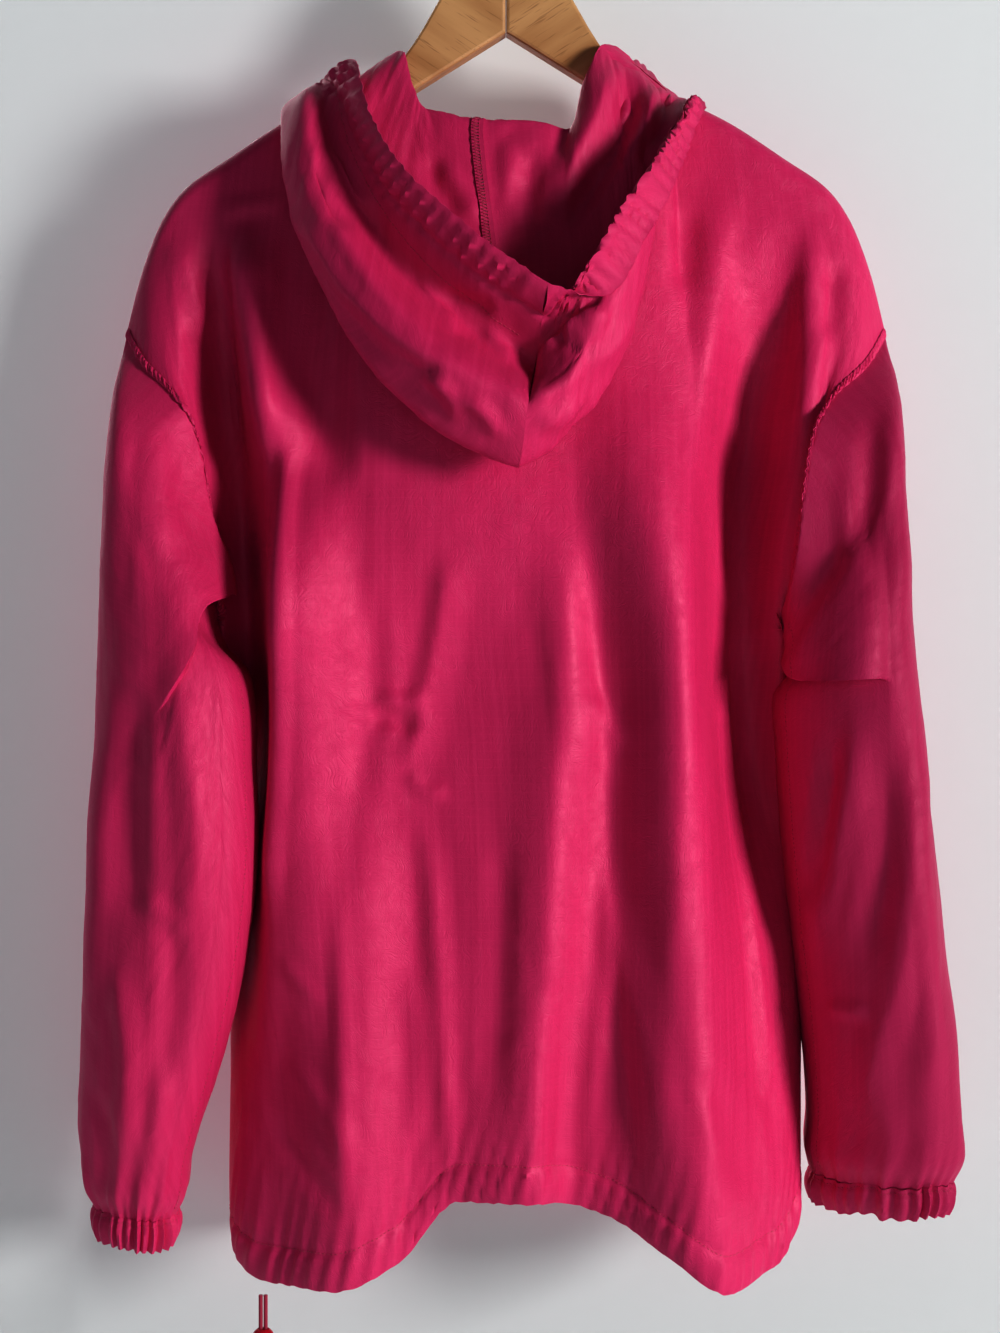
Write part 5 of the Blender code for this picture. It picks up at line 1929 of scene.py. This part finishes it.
# ---- the stage ----------------------------------------------------------------------------
@dataclass
class Stage:
    """Camera, soft lights, and a plain pale wall and floor."""

    eye: tuple = (-0.0038, -1.25, -0.5244)
    frame_height: float = 0.844
    wall_y: float = 0.086
    floor_z: float = -1.45
    pale: tuple = (0.50, 0.515, 0.52, 1)

    def camera(self) -> None:
        """Make the camera, level and square to the garment's back."""
        data = bpy.data.cameras.new("camera")
        data.sensor_fit = "VERTICAL"
        data.sensor_height = 36.0
        data.lens = 36.0 * abs(self.eye[1]) / self.frame_height
        data.clip_start = 0.01
        data.clip_end = 30.0
        camera = bpy.data.objects.new("camera", data)
        camera.location = self.eye
        camera.rotation_euler = (math.pi / 2, 0, 0)
        bpy.context.scene.collection.objects.link(camera)
        bpy.context.scene.camera = camera

    def paint(self) -> bpy.types.Material:
        """Make the pale paint of the wall and the floor, clear from behind and to shadows."""
        material, nodes, shader = blank("pale_paint")
        nodes.feed(shader, {"Base Color": self.pale, "Roughness": 0.85})
        clear = nodes.add("ShaderNodeBsdfTransparent")
        behind = nodes.add("ShaderNodeNewGeometry").outputs["Backfacing"]
        path = nodes.add("ShaderNodeLightPath").outputs["Is Shadow Ray"]
        share = nodes.maths("MAXIMUM", behind, path)
        mix = nodes.add("ShaderNodeMixShader", {0: share})
        tree = material.node_tree
        tree.links.new(shader.outputs[0], mix.inputs[1])
        tree.links.new(clear.outputs[0], mix.inputs[2])
        tree.links.new(mix.outputs[0], tree.nodes["Material Output"].inputs["Surface"])
        return material

    def surfaces(self) -> None:
        """Make the wall behind the garment and the floor below it."""
        paint = self.paint()
        wide, top = 3.0, 2.2
        wall = [(-wide, self.wall_y, self.floor_z), (wide, self.wall_y, self.floor_z),
                (wide, self.wall_y, top), (-wide, self.wall_y, top)]  # fmt: skip
        floor = [(-wide, -4.0, self.floor_z), (wide, -4.0, self.floor_z),
                 (wide, 4.0, self.floor_z), (-wide, 4.0, self.floor_z)]  # fmt: skip
        for name, corners in (("backdrop", wall), ("floor", floor)):
            piece = mesh_object(name, np.array(corners), [(0, 1, 2, 3)], paint)

    def light(
        self, name: str, place: tuple, target: tuple, size: tuple, power: float, colour: tuple
    ) -> bpy.types.Object:
        """Make one soft rectangular light that looks at a target."""
        data = bpy.data.lights.new(name, "AREA")
        data.shape = "RECTANGLE"
        data.size, data.size_y = size
        data.energy = power
        data.color = colour
        lamp = bpy.data.objects.new(name, data)
        lamp.location = place
        way = np.array(target, float) - np.array(place, float)
        flat = math.hypot(way[0], way[1])
        lamp.rotation_euler = (
            math.atan2(flat, -way[2]), 0, math.atan2(way[1], way[0]) - math.pi / 2
        )  # fmt: skip
        bpy.context.scene.collection.objects.link(lamp)
        return lamp

    def lights(self) -> None:
        """Make the key from the right, weaker lights, the wall's own wash and the room's glow."""
        middle = (0, 0, -0.55)
        place, size, colour = (2.38, -2.00, -0.30), (0.62, 0.75), (1.0, 0.985, 0.965)
        key = self.light("key", place, middle, size, 80, colour)
        flagged = self.light("flagged key", place, middle, size, 42, colour)
        near = bpy.data.collections.new("near sleeve")
        far = bpy.data.collections.new("all but the near sleeve")
        for piece in bpy.context.scene.objects:
            if piece.type in ("MESH", "CURVE"):
                side = near if piece.name.startswith(("sleeve_right", "cuff_right")) else far
                side.objects.link(piece)
        key.light_linking.receiver_collection = far
        flagged.light_linking.receiver_collection = near
        self.light("fill", (-1.9, -1.7, -0.3), middle, (1.4, 1.4), 3.5, (0.93, 0.96, 1.0))
        self.light("front", (0.2, -3.0, -0.4), middle, (1.6, 1.2), 4, (0.96, 0.98, 1.0))
        wash = self.light("wash", (-0.7, -2.0, 1.1), middle, (1.6, 1.6), 36, (0.95, 0.98, 1.0))
        wall_only = bpy.data.collections.new("wall only")
        for name in ("backdrop", "floor"):
            wall_only.objects.link(bpy.data.objects[name])
        wash.light_linking.receiver_collection = wall_only
        wash.light_linking.blocker_collection = wall_only
        self.light("rear", (-0.9, 2.2, 0.6), middle, (1.6, 1.6), 60, (1.0, 0.99, 0.97))
        world = bpy.data.worlds.new("room")
        world.use_nodes = True
        back = world.node_tree.nodes["Background"]
        back.inputs["Color"].default_value = (0.86, 0.90, 0.95, 1)
        back.inputs["Strength"].default_value = 0.03
        bpy.context.scene.world = world
        view = bpy.context.scene.view_settings
        view.view_transform = "Standard"
        view.gamma = 0.70
        view.exposure = 0.31

    def build(self) -> None:
        """Make the wall, the floor and the lights."""
        self.surfaces()
        self.lights()


# ---- the garment --------------------------------------------------------------------------
# Each row is width, height, crispness, lean, fade, then x and z of every point, in millimetres as
# seen from the back. The height stands out of the cloth or, below zero, sinks into it.
BACK_CREASES = crease_rows(
    # left shoulder: ridge, deep valley, lobe and the yoke-like crease above them
    (16, 4, 0.3, 0, 0.3, -206, -252, -197, -288, -190, -320),
    (15, -6, 0.3, 0, 0.3, -186, -236, -181, -290, -178, -350, -176, -430),
    (16, 5, 0.3, 0.3, 0.3, -166, -240, -158, -300, -150, -350, -141, -392),
    (10, 2, 0.3, 0, 0.3, -184, -241, -160, -236, -138, -233),
    (17, -5, 0.3, 0, 0.3, -137, -240, -134, -300, -128, -380),
    # the long ridge at the left, and the bright band beside it
    (10, 5, 0.7, 0, 0.15, -160, -368, -150, -384, -138, -390, -135, -404, -137, -470, -138, -560, -146, -690),
    (10, 3, 0.6, 0, 0.3, -100, -650, -100, -720, -99, -800, -97, -870),
    (14, -3, 0.3, 0, 0.3, -83, -470, -82, -540, -90, -620),
    (9, 3, 0.7, 0, 0.3, -80, -540, -64, -546, -48, -540),
    (10, -4, 0.6, 0, 0.3, -86, -560, -70, -556, -52, -566),
    # the darker facet beside the middle, and the crease that runs off below it
    (16, 4, 0.8, -0.3, 0.2, -34, -450, -42, -500, -52, -548, -62, -596),
    (8, 3, 0.8, 0, 0.3, -62, -588, -50, -600, -34, -602),
    (12, 4, 0.7, 0, 0.3, -56, -600, -46, -650, -40, -740, -34, -850),
    (14, -3, 0.3, 0, 0.3, 0, -600, -4, -700, -10, -820),
    # middle ridge and the trough at its right
    (22, 4, 0.3, 0, 0.3, 30, -440, 36, -500, 46, -560, 57, -606),
    (12, 2, 0.6, 0, 0.3, 46, -540, 62, -560, 76, -575),
    (14, 3, 0.6, 0, 0.3, 62, -600, 60, -680, 54, -760, 44, -850),
    (18, 4, 0.3, 0, 0.3, 60, -640, 72, -700, 88, -770, 96, -840),
    (20, -3, 0.3, 0, 0.3, 30, -700, 34, -780, 28, -860),
    # the crisp ridge at the right, and the deep valley behind it
    (9, 3, 0.7, 0, 0.15, 128, -400, 131, -450, 134, -520, 142, -600, 155, -700, 166, -800),
    (12, 5, 0.6, 0, 0.3, 193, -236, 189, -290, 187, -350, 182, -405),
    (11, -4, 0.3, 0, 0.3, 206, -268, 203, -295, 198, -325),
    (14, -3, 0.3, 0, 0.3, 112, -235, 112, -262, 108, -295),
    (16, 3, 0.3, 0, 0.3, 135, -215, 130, -280, 120, -350),
    # lower back: shallow diagonals
    (12, 2.2, 0.6, 0, 0.3, -140, -760, -112, -790, -88, -830),
    (11, -2, 0.5, 0, 0.3, -150, -800, -124, -826, -100, -862),
    (9, 1.6, 0.6, 0, 0.3, -142, -700, -128, -712, -110, -732),
    (13, 2.6, 0.3, 0, 0.3, -60, -700, -52, -760, -58, -830),
    (14, -3, 0.3, 0, 0.3, 118, -760, 134, -800, 142, -850),
    (10, 2.4, 0.6, 0, 0.3, 150, -780, 158, -820, 160, -862),
)

FRONT_CREASES = crease_rows(
    (15, 4, 0.3, 0, 0.3, -204, -256, -196, -290, -190, -322),
    (18, -7, 0.3, 0, 0.3, -182, -240, -172, -320, -166, -420),
    (18, 5, 0.5, 0, 0.3, -150, -240, -142, -350, -138, -470, -144, -620),
    (22, -4, 0.3, 0, 0.3, -112, -330, -104, -450, -110, -580),
    (20, 4, 0.3, 0, 0.3, -70, -420, -60, -520, -66, -640, -58, -780),
    (12, 2, 0.6, 0, 0.3, -40, -470, -20, -490, 10, -496),
    (26, -5, 0.3, 0, 0.3, 0, -520, -6, -640, 2, -800),
    (18, 5, 0.5, 0, 0.3, 50, -400, 60, -520, 56, -660, 66, -820),
    (20, -5, 0.3, 0, 0.3, 94, -330, 104, -440, 112, -580),
    (18, 5, 0.3, 0, 0.3, 140, -240, 138, -360, 146, -500, 150, -680),
    (17, -6, 0.3, 0, 0.3, 186, -250, 172, -330, 164, -430),
    (13, 4, 0.3, 0, 0.3, 204, -262, 198, -290, 190, -330),
    (12, 2.4, 0.6, 0, 0.3, -130, -740, -100, -770, -78, -815),
    (12, 2.4, 0.6, 0, 0.3, 88, -720, 112, -756, 128, -800),
    (14, 3, 0.3, 0, 0.3, -30, -700, -24, -770, -34, -840),
)

LEFT_SLEEVE_BACK = crease_rows(
    (14, 3, 0.3, 0, 0.3, -236, -352, -240, -430, -242, -520),
    (15, 4, 0.3, 0, 0.3, -214, -372, -212, -420, -204, -462),
    (18, -6, 0.3, 0, 0.3, -222, -520, -228, -600, -226, -700),
    (14, 4, 0.3, 0, 0.3, -248, -560, -250, -660, -254, -760),
    (16, 5, 0.5, 0, 0.3, -196, -500, -192, -560, -186, -620, -188, -700),
    (14, -4, 0.3, 0, 0.3, -210, -640, -200, -700, -206, -790),
    (13, 4, 0.5, 0, 0.3, -238, -690, -228, -760, -232, -840),
    (10, 2.4, 0.6, 0, 0.3, -222, -660, -206, -672, -190, -690),
    (10, -3, 0.3, 0, 0.3, -250, -780, -244, -820, -246, -858),
    (10, 3, 0.3, 0, 0.3, -206, -760, -212, -810, -216, -852),
)

RIGHT_SLEEVE_BACK = crease_rows(
    (12, 4, 0.5, 0, 0.3, 236, -352, 238, -420, 240, -500),
    (12, -4, 0.3, 0, 0.3, 222, -360, 220, -420, 214, -470),
    (12, 3, 0.3, 0, 0.3, 204, -400, 206, -440, 214, -480),
    (12, 4, 0.6, 0, 0.3, 212, -540, 207, -600, 194, -664, 192, -720),
    (10, -5, 0.3, 0, 0.3, 198, -560, 194, -620, 190, -680),
    (15, 4, 0.6, 0, 0.3, 243, -593, 240, -690, 222, -778, 240, -822),
    (16, -6, 0.3, 0, 0.3, 226, -560, 226, -640, 214, -720),
    (14, -4, 0.3, 0, 0.3, 262, -560, 264, -660, 262, -760),
    (13, 3, 0.3, 0, 0.3, 252, -640, 258, -720, 252, -800),
    (9, 3, 0.6, 0, 0.3, 196, -733, 208, -734, 222, -733),
)

SLEEVE_FRONT = table(
    "x1 z1 x2 z2 x3 z3 width height",
    (0.232, -0.352, 0.236, -0.44, 0.24, -0.54, 0.013, 0.003),
    (0.212, -0.4, 0.206, -0.5, 0.212, -0.6, 0.016, -0.005),
    (0.196, -0.54, 0.2, -0.64, 0.196, -0.74, 0.013, 0.004),
    (0.234, -0.58, 0.23, -0.69, 0.24, -0.79, 0.015, 0.004),
    (0.22, -0.64, 0.214, -0.74, 0.218, -0.83, 0.013, -0.004),
    (0.19, -0.52, 0.214, -0.545, 0.236, -0.56, 0.011, 0.003),
)

HOOD_LEFT_CREASES = crease_rows(
    (8, 3, 0.8, 0, 0.2, -124, -251, -102, -290, -83, -314, -56, -337, -20, -358),
    (10, -3, 0.3, 0, 0.3, -104, -300, -76, -338, -46, -366, -10, -388),
    (8, 4, 0.7, 0, 0.3, -52, -352, -36, -362, -26, -384),
    (7, 4, 0.8, 0, 0.3, -30, -368, -14, -374, -2, -392),
    (7, -3, 0.6, 0, 0.3, -66, -340, -50, -352, -36, -350),
    (9, 4, 0.7, 0, 0.3, -52, -290, -40, -312, -24, -330),
    (8, -4, 0.6, 0, 0.3, -38, -300, -20, -310, -4, -312),
    (8, 4, 0.7, 0, 0.3, -14, -322, -4, -334, 6, -346),
    (9, 4, 0.7, 0, 0.3, -110, -206, -96, -232, -76, -256),
    (10, -5, 0.3, 0, 0.3, -118, -214, -108, -244, -92, -268),
)

HOOD_RIGHT_CREASES = crease_rows(
    (9, 7, 0.7, 0, 0.2, 10, -352, 28, -336, 46, -322, 62, -316),
    (9, -4, 0.3, 0, 0.3, 12, -366, 34, -350, 58, -330),
    (9, 4, 0.8, 0, 0.3, 12, -384, 36, -376, 54, -362),
    (7, -3, 0.7, 0, 0.3, 30, -400, 42, -380, 50, -360),
    (9, 4, 0.7, 0, 0.3, 50, -352, 64, -334, 76, -310),
    (8, -3, 0.6, 0, 0.3, 20, -322, 32, -330, 44, -345),
)

# Seen from the back, the inner layer shows its inside: a height below zero comes nearer.
HOOD_INNER_CREASES = crease_rows(
    (14, -9, 0.3, 0.2, 0.3, 62, -142, 58, -180, 44, -211, 30, -245),
    (10, 8, 0.5, 0, 0.3, 75, -150, 72, -194, 52, -231, 33, -262),
    (9, -6, 0.5, 0, 0.3, 90, -158, 87, -188, 70, -220),
    (8, 4, 0.3, 0, 0.3, 104, -160, 98, -184, 86, -208),
    (13, 3, 0.3, 0, 0.3, -50, -206, -42, -228, -24, -250),
    (11, -3, 0.3, 0, 0.3, -40, -212, -28, -236, -12, -256),
    (11, 4, 0.3, 0, 0.3, 20, -200, 14, -226, 16, -262),
    (9, -2, 0.3, 0, 0.3, 0, -196, 0, -220, -4, -250),
)


@dataclass
class Anorak:
    """The whole garment."""

    body: BodyForm = field(default_factory=BodyForm)
    hood: HoodForm = field(default_factory=HoodForm)

    def panels(self) -> list[Panel]:
        """Describe the back and the front panel."""
        return [
            Panel("back_panel", self.body, Side.BACK, BACK_CREASES, (0.56, 0.74), worn=Worn(seed=3)),
            Panel(
                "front_panel", self.body, Side.FRONT, FRONT_CREASES, (0.55, 0.72),
                columns=132, arm_rows=76, low_rows=92, worn=Worn(seed=77), slit=0.160,
            ),
        ]  # fmt: skip

    def sleeves(self) -> list[Sleeve]:
        """Describe both sleeves."""
        front = [
            Crease(((x1, z1), (x2, z2), (x3, z3)), width, height)
            for x1, z1, x2, z2, x3, z3, width, height in zip(*SLEEVE_FRONT.values())
        ]
        turned = [
            Crease(tuple((-x - 0.004, z - 0.008) for x, z in each.line), each.width, each.height)
            for each in front
        ]
        left = SleeveForm(
            Hand.LEFT,
            table(
                "outer_x outer_z inner_x inner_z middle_y back front",
                (-0.246, -0.352, -0.178, -0.508, -0.002, 0.048, 0.043),
                (-0.2505, -0.419, -0.1745, -0.516, -0.007, 0.053, 0.044),
                (-0.253, -0.47, -0.161, -0.528, -0.012, 0.054, 0.044),
                (-0.255, -0.52, -0.156, -0.548, -0.016, 0.052, 0.043),
                (-0.2565, -0.575, -0.155, -0.585, -0.019, 0.05, 0.042),
                (-0.259, -0.64, -0.154, -0.64, -0.02, 0.048, 0.042),
                (-0.2625, -0.71, -0.162, -0.706, -0.018, 0.046, 0.042),
                (-0.267, -0.775, -0.177, -0.768, -0.014, 0.044, 0.042),
                (-0.268, -0.825, -0.194, -0.82, -0.009, 0.038, 0.037),
                (-0.257, -0.862, -0.209, -0.866, -0.005, 0.028, 0.027),
            ),
            table(
                "turn z height",
                (0, -0.56, 0), (84, -0.552, 0), (94, -0.532, 0.005), (104, -0.51, 0.009),
                (116, -0.488, 0.013), (128, -0.47, 0.017), (150, -0.46, 0.017),
                (175, -0.46, 0.01), (205, -0.465, 0.003), (230, -0.47, 0),
                (360, -0.47, 0),
            ),
            fold_top_z=-0.375, fold_way=150, tilt=-0.009,
        )  # fmt: skip
        right = SleeveForm(
            Hand.RIGHT,
            table(
                "outer_x outer_z inner_x inner_z middle_y back front",
                (0.246, -0.352, 0.1785, -0.508, -0.002, 0.048, 0.043),
                (0.2455, -0.419, 0.177, -0.516, -0.007, 0.054, 0.044),
                (0.247, -0.476, 0.178, -0.528, -0.012, 0.056, 0.044),
                (0.2505, -0.53, 0.169, -0.543, -0.015, 0.054, 0.043),
                (0.2555, -0.572, 0.171, -0.572, -0.018, 0.047, 0.042),
                (0.2645, -0.64, 0.176, -0.64, -0.019, 0.046, 0.042),
                (0.271, -0.71, 0.183, -0.706, -0.017, 0.045, 0.042),
                (0.277, -0.775, 0.19, -0.77, -0.013, 0.044, 0.042),
                (0.278, -0.815, 0.194, -0.814, -0.009, 0.041, 0.04),
                (0.273, -0.84, 0.198, -0.846, -0.005, 0.033, 0.032),
            ),
            table(
                "turn z height",
                (0, -0.53, 0), (62, -0.53, 0), (70, -0.526, 0.006), (84, -0.522, 0.011),
                (110, -0.521, 0.013), (140, -0.521, 0.013), (165, -0.521, 0.01),
                (190, -0.518, 0.005), (215, -0.515, 0), (360, -0.515, 0),
            ),
            fold_top_z=-0.400, fold_way=118, tilt=0.022,
        )  # fmt: skip
        return [
            Sleeve(
                Hand.LEFT, self.body, left, (0.42, 0.545), LEFT_SLEEVE_BACK, turned,
                worn=Worn(seed=131),
            ),
            Sleeve(
                Hand.RIGHT, self.body, right, (0.42, 0.525), RIGHT_SLEEVE_BACK, front,
                worn=Worn(seed=171),
            ),
        ]  # fmt: skip

    def build(self, finishes: Finishes) -> None:
        """Make every cloth piece and the seams between them."""
        casings = {
            Side.BACK: ("hem_casing_back", (0.47, 0.026)),
            Side.FRONT: ("hem_casing_front", (0.46, 0.026)),
        }
        for panel in self.panels():
            panel.build(finishes)
            name, flat = casings[panel.side]
            HemCasing(name, panel, flat).build(finishes)
        for sleeve in self.sleeves():
            sleeve.build(finishes)
        halves = []
        for hand, creases, flat in (
            (Hand.LEFT, HOOD_LEFT_CREASES, (0.29, 0.34)),
            (Hand.RIGHT, HOOD_RIGHT_CREASES, (0.29, 0.25)),
        ):
            half = Hood(
                hand, self.body, self.hood, creases, HOOD_INNER_CREASES, flat,
                worn=Worn(wide=0.0016, middle=0.0010, small=0.0003, seed=211 + 40 * hand.value),
            )  # fmt: skip
            half.build(finishes)
            halves.append(half)
        self.centre_seam(halves[0], finishes)

    def centre_seam(self, half: Hood, finishes: Finishes) -> None:
        """Lay the overlocked seam allowance down the middle of the hood's inside."""
        sheet = half.sheet
        rows = slice(5, int(np.sum(half.places[:, -1] < 0.50)))
        grid = (sheet.points - sheet.outward * 0.0003)[rows, ::-1][:, :24]
        facing = -sheet.outward[rows, ::-1][:, :24]
        facing[:, 0] = facing[:, 1]
        trim = Overlock(width=0.0078).sew("hood_centre_seam", grid, facing, finishes)
        fasten(trim)


def clear_scene() -> None:
    """Remove what the startup file holds."""
    for each in list(bpy.data.objects):
        bpy.data.objects.remove(each)


def main() -> None:
    """Build the whole scene."""
    logging.basicConfig(level=logging.INFO, format="%(name)s: %(message)s")
    clear_scene()
    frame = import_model()
    stage = Stage()
    stage.camera()
    finishes = Finishes().make()
    HemCord().build(finishes)
    Hanger(frame["nodes"]).dress(finishes)
    Anorak().build(finishes)
    stage.build()


if __name__ == "__main__":
    main()
